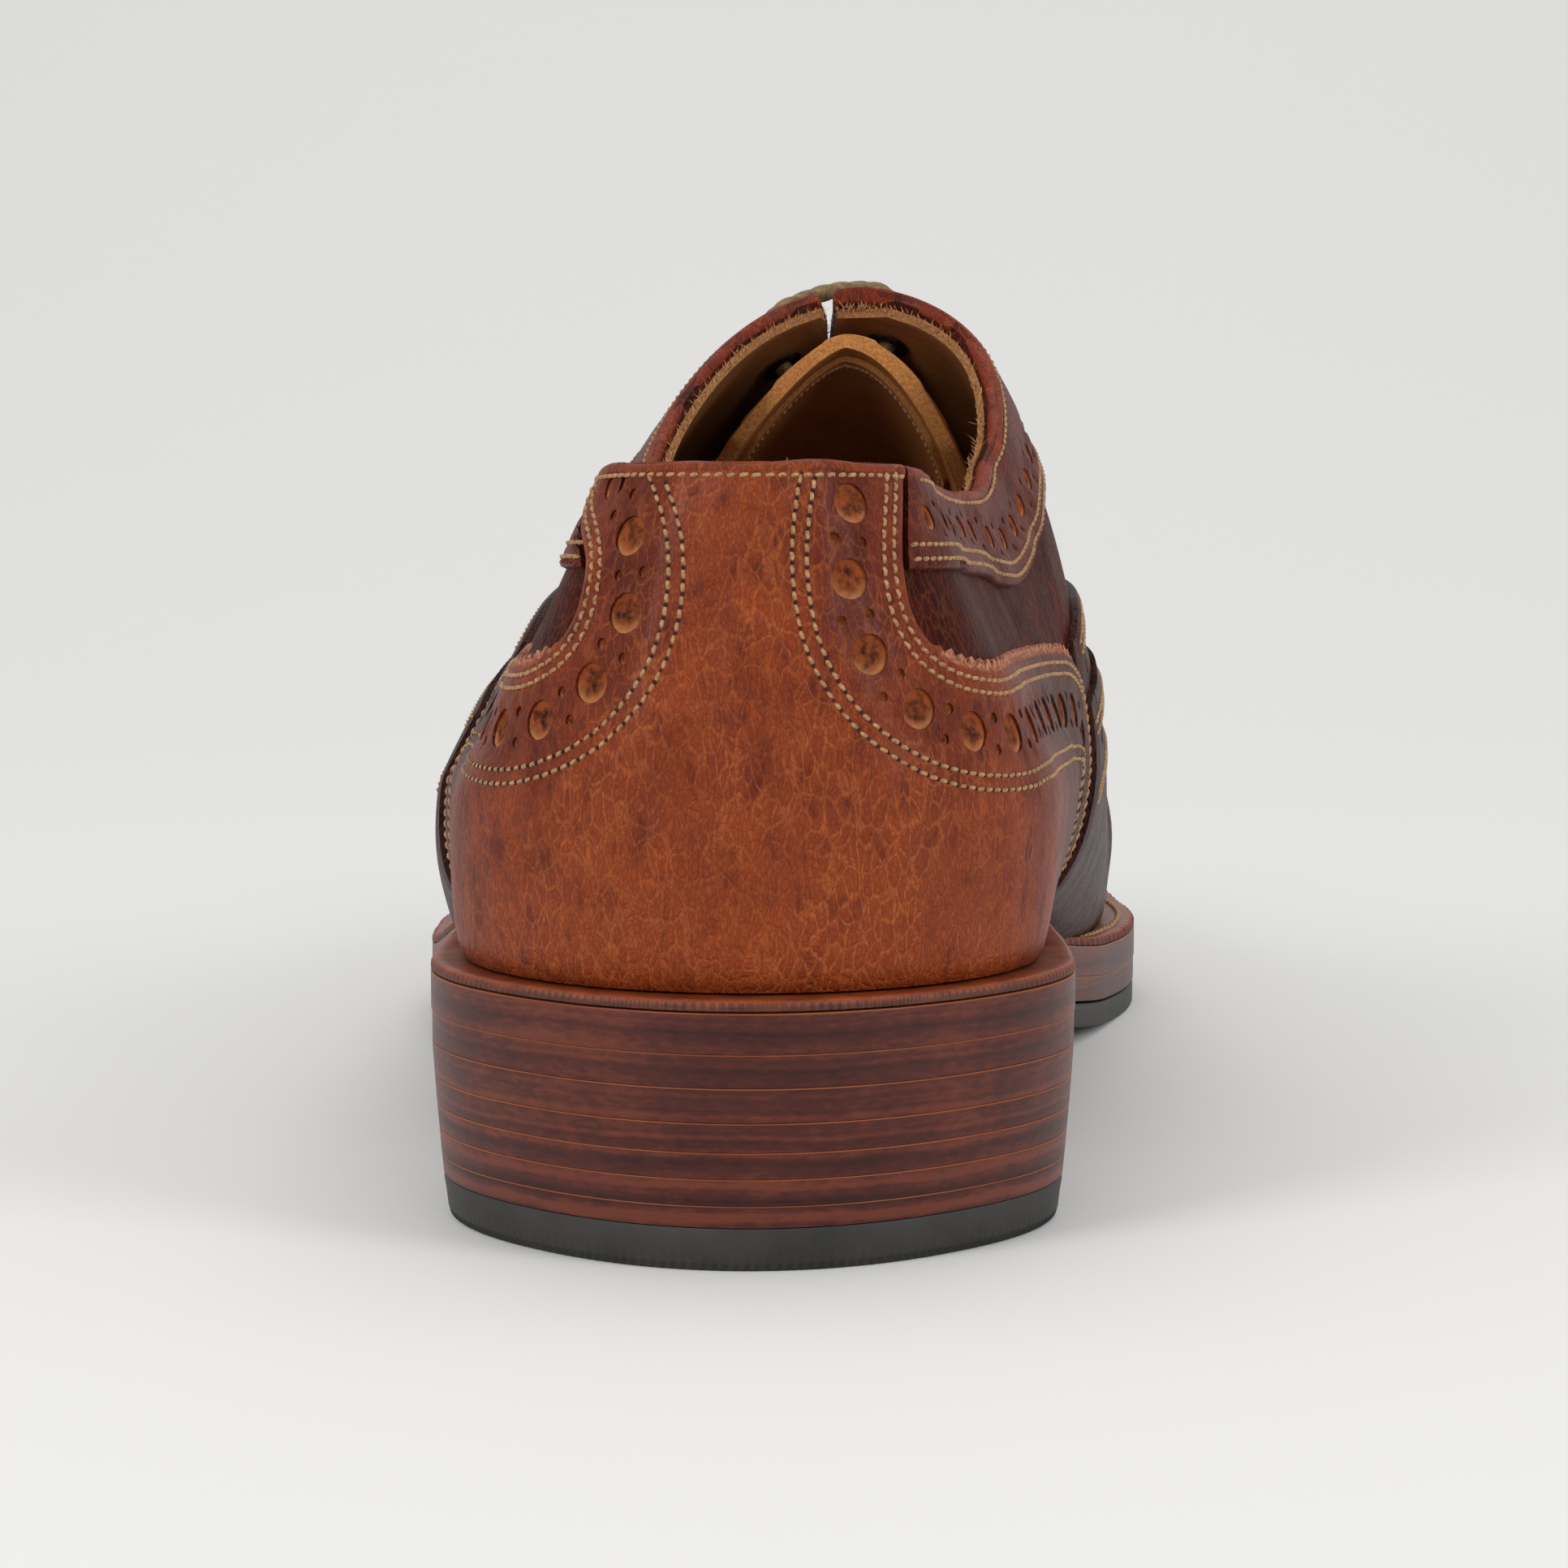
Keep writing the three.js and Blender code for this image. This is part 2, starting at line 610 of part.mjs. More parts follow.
// Vamp over the front of the quarters, and the winged cap over the toe.
const ahead = forwardOf(counterFront + clearance);
const vampLeather = shell(clearance, clearance + vampThickness).subtract(underWelt);
const vamp = vampLeather.intersect(vampPrism).intersect(ahead);
const capLow = 2 * clearance + vampThickness;
const capLeather = shell(capLow, capLow + overlayThickness).subtract(underWelt);
const wingPoints = fair(onSide(wingEdge), 16);
const wingSide = prism([...wingPoints, [wingPoints.at(-1)[0], 0], [wingPoints[0][0], 0]], "side");
const peakCurve = fair(wingPeak.map((row) => [ballWidth * row.out, soleLength * row.at]), 12);
const peakX = middleAt(toeAxis) + leanAt(toeAxis);
const wingTop = prism(
  [
    ...peakCurve.map(([x, y]) => [peakX + x, y]),
    [farOut, peakCurve.at(-1)[1]],
    [farOut, 2 * soleLength],
    [-farOut, 2 * soleLength],
    [-farOut, peakCurve.at(-1)[1]],
    ...peakCurve.map(([x, y]) => [peakX - x, y]).reverse(),
  ],
  "top",
);
const wingCap = capLeather.intersect(wingSide.add(wingTop)).intersect(ahead);

// Heights of the laces' middle line over the facings and under the lining
const overFacing = clearance + overlayThickness + clearance + laceWidth / 2;
const underFacing = -(wallThickness + eyeletDip + eyeletThickness + 2 * clearance + laceWidth / 2);

// Tongue: a sheet laid over the instep, clear of the laces that run under the facings.
const tongueRows = 8;
const tongueColumns = 8;
const tongueHollow = 8; // how far the corners of its top edge lie forward of the middle
const tongueTaper = 0.25;
const tongueOffset = underFacing - laceWidth / 2 - clearance - tongueSlack;
function tonguePlace(row, column) {
  const [share, across] = [row / tongueRows, (2 * column) / tongueColumns - 1];
  const y = tongueTop + tongueHollow * across * across * (1 - share) + (tongueEnd - tongueTop) * share;
  return acrossRidge(y, across * tongueHalfWidth * (1 - tongueTaper * share), tongueOffset);
}

// Closes a grid of places into a solid sheet between two offsets of the last.
function sheet(placeOf, rowCount, columnCount, high, low) {
  const places = Array.from({ length: rowCount + 1 }, (_, i) =>
    Array.from({ length: columnCount + 1 }, (_, j) => placeOf(i, j)),
  );
  const atHeight = (height) => places.map((line) => line.map((place) => onLast(place, height).toArray()));
  const [upper, under] = [high, low].map(atHeight);
  const faces = [];
  for (let i = 0; i < rowCount; i++) {
    for (let j = 0; j < columnCount; j++) {
      faces.push(...quad(upper[i][j], upper[i][j + 1], upper[i + 1][j + 1], upper[i + 1][j]));
      faces.push(...quad(under[i][j], under[i + 1][j], under[i + 1][j + 1], under[i][j + 1]));
    }
    faces.push(...quad(upper[i][0], upper[i + 1][0], under[i + 1][0], under[i][0]));
    const j = columnCount;
    faces.push(...quad(upper[i][j], under[i][j], under[i + 1][j], upper[i + 1][j]));
  }
  for (let j = 0; j < columnCount; j++) {
    faces.push(...quad(upper[0][j], under[0][j], under[0][j + 1], upper[0][j + 1]));
    const i = rowCount;
    faces.push(...quad(upper[i][j], upper[i][j + 1], under[i][j + 1], under[i][j]));
  }
  return solidFrom(faces);
}

const tongue = sheet(tonguePlace, tongueRows, tongueColumns, tongueOffset, tongueOffset - tongueThickness);

// Layers under the foot
const underfoot = (thickness, above) => (y) => undersideAt(y) + above - (thickness ? clearance : 0);
const rubberTop = underfoot(true, rubberSoleThickness);
const leatherTop = underfoot(true, rubberSoleThickness + leatherSoleThickness);
const midsoleTop = (y) => undersideAt(y) + soleStack;
const rubberBottom = (y) => undersideAt(y);
const leatherBottom = (y) => undersideAt(y) + rubberSoleThickness;
const midsoleBottom = (y) => undersideAt(y) + rubberSoleThickness + leatherSoleThickness;
const weltBand = plate(
  soleReach,
  (y) => midsoleTop(y) + clearance,
  (y) => midsoleTop(y) + weltThickness,
);
const welt = weltBand.subtract(last(clearance, weltThickness + footDrop));
const midsole = plate(soleReach, midsoleBottom, (y) => midsoleTop(y));
const leatherSole = plate(soleReach, leatherBottom, leatherTop);
const rubberSole = plate(soleReach, rubberBottom, rubberTop).intersect(forwardOf(heelBreast + clearance));
const insoleSlab = plate(
  (sweep) => featherReach(sweep) + insoleThickness + wallThickness,
  (y) => midsoleTop(y) + clearance,
  (y) => midsoleTop(y) + clearance + insoleThickness,
);
const insole = insoleSlab.intersect(last(-wallThickness - clearance, insoleThickness + clearance));

// Heel: lifts of leather and a rubber top piece, with a breast that curves in
const liftSteps = 16; // places on each side of a lift's edge
const breastShares = [0.6, 0.3, 0, -0.3, -0.6]; // places across the breast, as shares of half its width
function heelOutline(inset) {
  const outline = [];
  const places = Array.from({ length: liftSteps + 1 }, (_, i) => i / liftSteps);
  for (const side of [1, -1]) {
    const half = places.map((share) => {
      const sweep = side * share * (heelTurn + heelBreast - heelAxis);
      const plane = planeAt(sweep);
      const out = soleReach(sweep) - inset;
      return [plane.x + plane.dx * out, plane.y + plane.dy * out];
    });
    outline.push(...(side > 0 ? half : half.reverse().slice(0, -1)));
    if (side > 0) {
      const width = half.at(-1)[0];
      for (const share of breastShares) {
        outline.push([share * width, heelBreast - breastHollow * (1 - share * share)]);
      }
    }
  }
  return outline;
}

function lift(inset, low, high) {
  const shape = new THREE.Shape(heelOutline(inset).map(([x, y]) => new THREE.Vector2(x, y)));
  const geometry = new THREE.ExtrudeGeometry(shape, { depth: high - low, bevelEnabled: false });
  geometry.translate(0, 0, low);
  return solidOf(geometry);
}

// Laces: straight bars over the facings, joined by the runs beneath them on each side.
const laceSides = 6;
const laceStep = 4.4;
function laceTube(points) {
  const path = new THREE.CatmullRomCurve3(points, false, "centripetal");
  const section = new THREE.Shape(
    Array.from({ length: laceSides }, (_, i) => {
      const turn = (2 * Math.PI * i) / laceSides;
      return new THREE.Vector2(Math.cos(turn), Math.sin(turn)).multiplyScalar(laceWidth / 2);
    }),
  );
  const steps = Math.round(path.getLength() / laceStep);
  return solidOf(new THREE.ExtrudeGeometry(section, { steps, extrudePath: path, bevelEnabled: false }));
}

const liftOf = ({ spot, normal }, height) => spot.clone().addScaledVector(normal, height);
const barShares = [-0.7, -0.35, 0, 0.35, 0.7]; // places on a bar, as shares of the way to its eyelets
function bar(pair) {
  const [outer, inner] = eyelets.filter((eyelet) => eyelet.pair === pair);
  const { y } = outer;
  const half = eyeletInset + facingGap / 2;
  const over = barShares.map((share) => {
    const place = acrossRidge(y, share * half - shiftOf(y), 0);
    return liftOf({ spot: onLast(place, 0), normal: squareTo(place) }, overFacing);
  });
  const endHeights = [underFacing, 0, overFacing - laceWidth / 4];
  const end = (eyelet) => endHeights.map((height) => liftOf(eyelet, height));
  return laceTube([...end(outer), ...over, ...end(inner).reverse()]);
}

function run(side) {
  const onOneSide = eyelets.filter((eyelet) => eyelet.side === side);
  return laceTube(onOneSide.map((eyelet) => liftOf(eyelet, underFacing)));
}

const lace = [...pairs.map(bar), run(-1), run(1)].reduce((all, length) => all.add(length));

// Eyelet: a ring against the lining, round its hole.
function eyeletRing({ frame }) {
  const high = -(wallThickness + clearance + eyeletDip);
  const low = high - eyeletThickness;
  const profile = [
    [eyeletHole, low],
    [eyeletReach, low],
    [eyeletReach, high],
    [eyeletHole, high],
    [eyeletHole, low],
  ].map(([radius, height]) => new THREE.Vector2(radius, height));
  return solidOf(new THREE.LatheGeometry(profile, eyeletSides).applyMatrix4(frame));
}

const finishes = {
  leather: { color: 0x8a3414, roughness: 0.45 },
  lining: { color: 0x6b4526, roughness: 0.8 },
  welt: { color: 0x6e3a1e, roughness: 0.6 },
  sole: { color: 0x4a2418, roughness: 0.45 },
  rubber: { color: 0x222222, roughness: 0.8 },
  lace: { color: 0x5b4526, roughness: 0.9 },
  metal: { color: 0x15130f, roughness: 0.5 },
};
const shoe = new THREE.Group();

function piece(name, solid, finish) {
  const { vertProperties, triVerts, numProp } = solid.getMesh();
  const positions = new Float32Array((vertProperties.length / numProp) * 3);
  for (let i = 0; i < positions.length / 3; i++) {
    positions.set(vertProperties.subarray(i * numProp, i * numProp + 3), i * 3);
  }
  const geometry = new THREE.BufferGeometry();
  geometry.setAttribute("position", new THREE.BufferAttribute(positions, 3));
  geometry.setIndex(new THREE.BufferAttribute(triVerts, 1));
  const material = new THREE.MeshStandardMaterial({ metalness: 0, ...finishes[finish] });
  const mesh = new THREE.Mesh(geometry, material);
  mesh.name = name;
  shoe.add(mesh);
}

const isInner = halfSpace(1);
const isOuter = halfSpace(-1);
piece("upper", upper, "leather");
piece("counter", counter, "leather");
piece("facing_inner", facings.intersect(isInner), "leather");
piece("facing_outer", facings.intersect(isOuter), "leather");
piece("vamp", vamp, "leather");
piece("wing_cap", wingCap, "leather");
piece("tongue", tongue, "lining");
piece("insole", insole, "lining");
piece("welt", welt, "welt");
piece("midsole", midsole, "sole");
piece("leather_sole", leatherSole, "sole");
piece("rubber_sole", rubberSole, "rubber");
piece("lace", lace, "lace");

eyelets.forEach((eyelet) => {
  piece(`eyelet_${eyelet.side > 0 ? "inner" : "outer"}_${eyelet.pair + 1}`, eyeletRing(eyelet), "metal");
});

let liftTop = heelRise + rubberSoleThickness;
liftThicknesses.forEach((thickness, i) => {
  piece(`heel_lift_${i + 1}`, lift(heelTaper * i, liftTop - thickness, liftTop - clearance), "sole");
  liftTop -= thickness;
});
const topPieceInset = heelTaper * liftThicknesses.length;
piece("heel_top_piece", lift(topPieceInset, 0, topPieceThickness - clearance), "rubber");

// The floor's middle point is the origin.
const extent = new THREE.Box3().setFromObject(shoe).getCenter(new THREE.Vector3());
shoe.position.set(-extent.x, -extent.y, 0);

export default shoe;
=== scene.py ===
import math

import bpy
import numpy as np
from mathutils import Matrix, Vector
from mathutils.geometry import delaunay_2d_cdt


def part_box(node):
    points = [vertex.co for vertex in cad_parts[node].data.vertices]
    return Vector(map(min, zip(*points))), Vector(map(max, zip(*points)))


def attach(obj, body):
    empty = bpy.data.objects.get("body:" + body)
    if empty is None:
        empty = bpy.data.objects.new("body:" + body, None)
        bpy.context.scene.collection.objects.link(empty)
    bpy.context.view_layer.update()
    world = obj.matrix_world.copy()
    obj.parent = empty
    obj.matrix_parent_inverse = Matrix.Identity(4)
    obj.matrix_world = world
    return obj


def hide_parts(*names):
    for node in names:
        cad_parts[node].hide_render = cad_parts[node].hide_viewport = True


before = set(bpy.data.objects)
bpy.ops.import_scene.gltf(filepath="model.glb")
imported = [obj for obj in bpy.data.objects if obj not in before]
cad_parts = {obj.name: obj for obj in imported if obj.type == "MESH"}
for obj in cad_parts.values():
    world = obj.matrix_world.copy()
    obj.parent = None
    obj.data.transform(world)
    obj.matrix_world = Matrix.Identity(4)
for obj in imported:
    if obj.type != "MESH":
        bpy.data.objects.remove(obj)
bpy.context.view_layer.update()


# Camera, floor and light. The camera stands close behind the heel and a little above the collar, as in the
# photograph. The floor is a pale paper sweep that rises far beyond the toe, under large soft lights.
scene = bpy.context.scene
camera_place = (0.0189, -0.5794, 0.0942)
camera_turn = math.radians(1.8)
camera_dip = math.radians(5.4)
camera = bpy.data.objects.new("camera", bpy.data.cameras.new("camera"))
camera.location = camera_place
camera.rotation_euler = (math.pi / 2 - camera_dip, 0, camera_turn)
camera.data.lens = 90.3
camera.data.sensor_width = 36
camera.data.clip_start = 0.02
scene.collection.objects.link(camera)
scene.camera = camera
scene.view_settings.view_transform = "Standard"


def linear(code):
    """A colour written as six hex digits, as linear light."""
    shares = [int(code[i : i + 2], 16) / 255 for i in (0, 2, 4)]
    return (*[s / 12.92 if s <= 0.04045 else ((s + 0.055) / 1.055) ** 2.4 for s in shares], 1)


class Wire:
    """An output of a shader node, so that maths on it is written as Python and adds Math nodes."""

    def __init__(self, socket):
        self.socket = socket

    def _math(self, operation, *values):
        tree = self.socket.id_data
        node = tree.nodes.new("ShaderNodeMath")
        node.operation = operation
        for place, value in zip(node.inputs, values):
            if isinstance(value, Wire):
                tree.links.new(value.socket, place)
            else:
                place.default_value = value
        return Wire(node.outputs[0])

    def __add__(self, other):
        return self._math("ADD", self, other)

    __radd__ = __add__

    def __sub__(self, other):
        return self._math("SUBTRACT", self, other)

    def __rsub__(self, other):
        return self._math("SUBTRACT", other, self)

    def __mul__(self, other):
        return self._math("MULTIPLY", self, other)

    __rmul__ = __mul__

    def clip(self):
        return self._math("MAXIMUM", self._math("MINIMUM", self, 1.0), 0.0)

    def over(self, low, high):
        """0 below low and 1 above high, with a soft step between."""
        share = ((self - low) * (1 / (high - low))).clip()
        return share * share * (3 - 2 * share)


class Finish:
    """A material, built from nodes."""

    def __init__(self, name):
        self.material = bpy.data.materials.new(name)
        self.material.use_nodes = True
        self.tree = self.material.node_tree
        self.tree.nodes.clear()
        self.shader = self.tree.nodes.new("ShaderNodeBsdfPrincipled")
        end = self.tree.nodes.new("ShaderNodeOutputMaterial")
        self.tree.links.new(self.shader.outputs[0], end.inputs[0])
        self.place = self.node("ShaderNodeTexCoord", output="Object")

    def node(self, kind, settings=(), inputs=(), output=None):
        node = self.tree.nodes.new(kind)
        for key, value in dict(settings).items():
            if key == "stops":
                ramp = node.color_ramp.elements
                while len(ramp) < len(value):
                    ramp.new(0.5)
                for stop, (where, colour) in zip(ramp, value):
                    stop.position, stop.color = where, colour
            else:
                setattr(node, key, value)
        for key, value in dict(inputs).items():
            by_name = (s for s in node.inputs if s.name == key and s.enabled)
            socket = node.inputs[key] if isinstance(key, int) else next(by_name)
            if isinstance(value, Wire):
                self.tree.links.new(value.socket, socket)
            else:
                socket.default_value = value
        shown = [s for s in node.outputs if s.enabled]
        return Wire(shown[0] if output is None else next(s for s in shown if s.name == output))

    def stretched(self, x, y, z):
        """Places in millimetres, drawn out along the axes."""
        scale = (1000 * x, 1000 * y, 1000 * z)
        return self.node("ShaderNodeMapping", inputs={"Vector": self.place, "Scale": scale})

    def noise(self, where, scale, detail=2.0, roughness=0.5):
        values = {"Vector": where, "Scale": scale, "Detail": detail, "Roughness": roughness}
        return self.node("ShaderNodeTexNoise", inputs=values, output="Fac")

    def grain(self, scale, detail=2.0, roughness=0.5):
        """Noise over places in millimetres."""
        return self.noise(self.stretched(1, 1, 1), scale, detail, roughness)

    def cells(self, where, scale):
        """Distance to the edges between cells."""
        settings = {"feature": "DISTANCE_TO_EDGE"}
        return self.node("ShaderNodeTexVoronoi", settings, {"Vector": where, "Scale": scale}, "Distance")

    def mix(self, share, a, b):
        return self.node("ShaderNodeMix", {"data_type": "RGBA"}, {"Factor": share, "A": a, "B": b})

    def ramp(self, share, *stops):
        return self.node("ShaderNodeValToRGB", {"stops": stops}, {"Fac": share}, output="Color")

    def value(self, name):
        return self.node("ShaderNodeAttribute", {"attribute_name": name}, output="Fac")

    def bump(self, height, distance, strength=1.0, normal=None):
        inputs = {"Height": height, "Distance": distance, "Strength": strength}
        if normal is not None:
            inputs["Normal"] = normal
        return self.node("ShaderNodeBump", inputs=inputs)

    def set(self, **inputs):
        for key, value in inputs.items():
            socket = self.shader.inputs[key.replace("_", " ")]
            if isinstance(value, Wire):
                self.tree.links.new(value.socket, socket)
            else:
                socket.default_value = value
        return self


paper = Finish("paper")
paper.set(Base_Color=linear("E5E4E2"), Roughness=0.9)
sweep_depth, sweep_bend, sweep_top, sweep_half = 0.35, 2.2, 4.0, 5.0
turns = [math.pi / 2 * i / 24 for i in range(25)]
bend = [(sweep_depth + sweep_bend * math.sin(a), sweep_bend * (1 - math.cos(a))) for a in turns]
profile = [(-3.0, 0.0), *bend, (sweep_depth + sweep_bend, sweep_top)]
paper_mesh = bpy.data.meshes.new("paper_sweep")
paper_mesh.from_pydata(
    [(side * sweep_half, y, z) for y, z in profile for side in (-1, 1)],
    [],
    [(2 * i, 2 * i + 1, 2 * i + 3, 2 * i + 2) for i in range(len(profile) - 1)],
)
paper_mesh.shade_smooth()
paper_mesh.materials.append(paper.material)
paper_sweep = bpy.data.objects.new("paper_sweep", paper_mesh)
scene.collection.objects.link(paper_sweep)

world = bpy.data.worlds.new("studio")
world.use_nodes = True
world.node_tree.nodes["Background"].inputs[0].default_value = (0.92, 0.93, 0.95, 1)
world.node_tree.nodes["Background"].inputs[1].default_value = 0.6
scene.world = world


def softbox(name, place, aim, width, height, power):
    lamp = bpy.data.lights.new(name, "AREA")
    lamp.shape, lamp.size, lamp.size_y, lamp.energy = "RECTANGLE", width, height, power
    holder = bpy.data.objects.new(name, lamp)
    holder.location = place
    holder.rotation_euler = (Vector(aim) - Vector(place)).to_track_quat("-Z", "Y").to_euler()
    scene.collection.objects.link(holder)


softbox("top_softbox", (0.0, 0.1, 1.5), (0, 0.1, 0), 1.4, 1.4, 5)
softbox("wall_softbox", (0.0, 0.9, 2.6), (0, 2.6, 1.0), 3.0, 1.2, 16)
softbox("left_softbox", (-0.75, -0.8, 0.55), (0, 0, 0.06), 0.35, 0.8, 5)
softbox("right_softbox", (0.85, -0.6, 0.5), (0, 0, 0.06), 0.35, 0.8, 4)


# Upper: the quarters, from grained calf leather, lasted over the foot's form and open at the collar and
# between the facings, with a smooth lining glued inside. Its surface is swept round the last in upright
# planes: half a turn at the heel, straight along the foot, half a turn at the toe. Millimetres.
sole_length, ball_width, heel_width, cone_height = 312, 110.5, 76, 84.3
sole_stack, heel_rise, toe_spring = 12.0, 16.7, 11.0
seat_height = heel_rise + sole_stack
heel_axis = 0.474 * heel_width
toe_axis = sole_length - 0.434 * ball_width
straight = toe_axis - heel_axis
heel_turn = math.pi / 2 * heel_axis
toe_turn = math.pi / 2 * 0.9 * (sole_length - toe_axis)
half_loop = heel_turn + straight + toe_turn
throat = 187.0
# stage, then outer and inner reach of the sole, feather and widest line, rise, top, side out and in, crown
sections = np.array([
    [0.0, 0.474, 0.474, 0.39, 0.39, 0.425, 0.425, 0.237, 1.0, 0.6, 0.6, 0.75, 0.75],
    [0.5, 0.464, 0.464, 0.392, 0.392, 0.432, 0.432, 0.237, 1.0, 0.35, 0.35, 0.4, 0.4],
    [1.0, 0.5, 0.5, 0.418, 0.414, 0.46, 0.45, 0.237, 1.0, 0.03, 0.08, 0.1, 0.14],
    [1.149, 0.349, 0.328, 0.296, 0.276, 0.358, 0.33, 0.222, 1.01, 0.04, 0.12, 0.12, 0.22],
    [1.303, 0.38, 0.303, 0.32, 0.248, 0.408, 0.36, 0.2, 1.04, 0.06, 0.26, 0.42, 0.55],
    [1.456, 0.443, 0.348, 0.374, 0.29, 0.432, 0.385, 0.178, 0.94, 0.2, 0.32, 0.48, 0.58],
    [1.61, 0.5, 0.437, 0.426, 0.368, 0.448, 0.405, 0.154, 0.755, 0.32, 0.38, 0.54, 0.58],
    [1.741, 0.52, 0.482, 0.446, 0.41, 0.456, 0.415, 0.142, 0.575, 0.44, 0.46, 0.6, 0.6],
    [1.873, 0.487, 0.448, 0.414, 0.378, 0.42, 0.384, 0.13, 0.435, 0.54, 0.54, 0.62, 0.62],
    [2.0, 0.4, 0.378, 0.335, 0.315, 0.34, 0.32, 0.119, 0.325, 0.6, 0.6, 0.62, 0.62],
    [2.25, 0.373, 0.357, 0.309, 0.295, 0.313, 0.299, 0.113, 0.325, 0.6, 0.6, 0.6, 0.6],
    [2.5, 0.387, 0.382, 0.322, 0.317, 0.327, 0.322, 0.107, 0.325, 0.6, 0.6, 0.6, 0.6],
    [3.0, 0.434, 0.434, 0.37, 0.37, 0.375, 0.375, 0.095, 0.325, 0.65, 0.65, 0.6, 0.6],
])
# share of the length, then shares of the ball's width: the middle of the sole, the ridge's lean and the gap's
midline = np.array([
    [0.0, 0, 0, 0], [0.12, 0, 0.03, 0], [0.22, 0, 0.072, 0.04], [0.34, 0, 0.098, 0.066],
    [0.45, 0, 0.078, 0.062], [0.56, 0.004, 0.05, 0.046], [0.66, 0.013, 0.03, 0.03],
    [0.76, 0.022, 0.012, 0.012], [0.85, 0.027, 0, 0], [1.0, 0.027, 0, 0],
])
# share of the length, then shares of the heel's rise and of the toe's spring
underside = np.array([
    [0.0, 1, 0], [0.27, 1, 0], [0.33, 0.83, 0], [0.39, 0.6, 0], [0.45, 0.36, 0], [0.51, 0.16, 0],
    [0.57, 0.035, 0], [0.62, 0, 0], [0.71, 0, 0], [0.78, 0, 0.13], [0.86, 0, 0.42], [1.0, 0, 1],
])
# edge of the collar from the side: share of the length, and height over the seat as a share of the cone's
topline = np.array([
    [-0.03, 0.714], [0.0, 0.714], [0.06, 0.706], [0.12, 0.684], [0.18, 0.662], [0.235, 0.67], [0.272, 0.73],
    [0.306, 0.81], [0.338, 0.892], [0.362, 0.955], [0.376, 1.0],
])


def hermite(knots, values, slopes, x):
    i = np.clip(np.searchsorted(knots, x, "right") - 1, 0, len(knots) - 2)
    step = knots[i + 1] - knots[i]
    u = (x - knots[i]) / step
    rise = step * (slopes[i] * u * (1 - u) ** 2 - slopes[i + 1] * u * u * (1 - u))
    return values[i] * (1 + 2 * u) * (1 - u) ** 2 + values[i + 1] * u * u * (3 - 2 * u) + rise


def smooth(knots, values):
    """A curve through rows that never overshoots them."""
    steps = np.diff(knots)
    slopes = np.diff(values) / steps
    before, after = 2 * steps[1:] + steps[:-1], steps[1:] + 2 * steps[:-1]
    a, b = slopes[:-1], slopes[1:]
    flat = a * b <= 0
    a, b = np.where(flat, 1, a), np.where(flat, 1, b)
    inner = np.where(flat, 0, (before + after) / (before / a + after / b))
    tangents = np.concatenate([slopes[:1], inner, slopes[-1:]])
    return lambda x: hermite(knots, values, tangents, np.clip(x, knots[0], knots[-1]))


def sweep_at(stage):
    heel, foot = np.minimum(stage, 1), np.clip(stage - 1, 0, 1)
    return heel_turn * heel + straight * foot + toe_turn * np.maximum(stage - 2, 0)


def round_loop(outer, inner):
    """A value round the whole loop, from its values at the stages on each side."""
    sweeps = sweep_at(sections[:, 0])
    knots = np.concatenate([sweeps, 2 * half_loop - sweeps[-2:0:-1]])
    values = np.concatenate([inner, outer[-2:0:-1]])
    knots = np.concatenate([knots[-2:] - 2 * half_loop, knots, knots[:3] + 2 * half_loop])
    values = np.concatenate([values[-2:], values, values[:3]])
    slopes = np.zeros(len(knots))
    slopes[1:-1] = (values[2:] - values[:-2]) / (knots[2:] - knots[:-2])
    return lambda sweep: hermite(knots, values, slopes, np.where(sweep < 0, sweep + 2 * half_loop, sweep))


widths = np.where(sections[:, 0] > 1, ball_width, heel_width)
sole_reach = round_loop(widths * sections[:, 1], widths * sections[:, 2])
feather_reach = round_loop(widths * sections[:, 3], widths * sections[:, 4])
wide_reach = round_loop(widths * sections[:, 5], widths * sections[:, 6])
wide_rise = round_loop(cone_height * sections[:, 7], cone_height * sections[:, 7])
ridge_rise = round_loop(cone_height * sections[:, 8], cone_height * sections[:, 8])
side_fullness = round_loop(sections[:, 9], sections[:, 10])
crown_fullness = round_loop(sections[:, 11], sections[:, 12])
middle_at = smooth(sole_length * midline[:, 0], ball_width * midline[:, 1])
lean_at = smooth(sole_length * midline[:, 0], ball_width * midline[:, 2])
gap_at = smooth(sole_length * midline[:, 0], ball_width * (midline[:, 1] + midline[:, 3]))
underside_at = smooth(
    sole_length * underside[:, 0], heel_rise * underside[:, 1] + toe_spring * underside[:, 2]
)


def feather_height(y):
    return underside_at(y) + sole_stack


def planes(sweep):
    """Where the upright half-plane at a place on the loop starts, and which way it faces."""
    side, far = np.where(sweep < 0, -1.0, 1.0), np.abs(sweep)
    heel, toe = np.minimum(far / heel_axis, math.pi / 2), np.maximum(far - heel_turn - straight, 0) / toe_turn
    y = np.clip(heel_axis + far - heel_turn, heel_axis, toe_axis)
    ahead = np.sin(math.pi / 2 * toe) - np.cos(heel)
    return middle_at(y), y, side * np.sin(heel) * np.cos(math.pi / 2 * toe), ahead


def bezier(a, b, c, d, u):
    v = 1 - u
    slope = v * v * (b - a) + 2 * v * u * (c - b) + u * u * (d - c)
    return v**3 * a + 3 * v * v * u * b + 3 * v * u * u * c + u**3 * d, slope


wall_share = 0.3


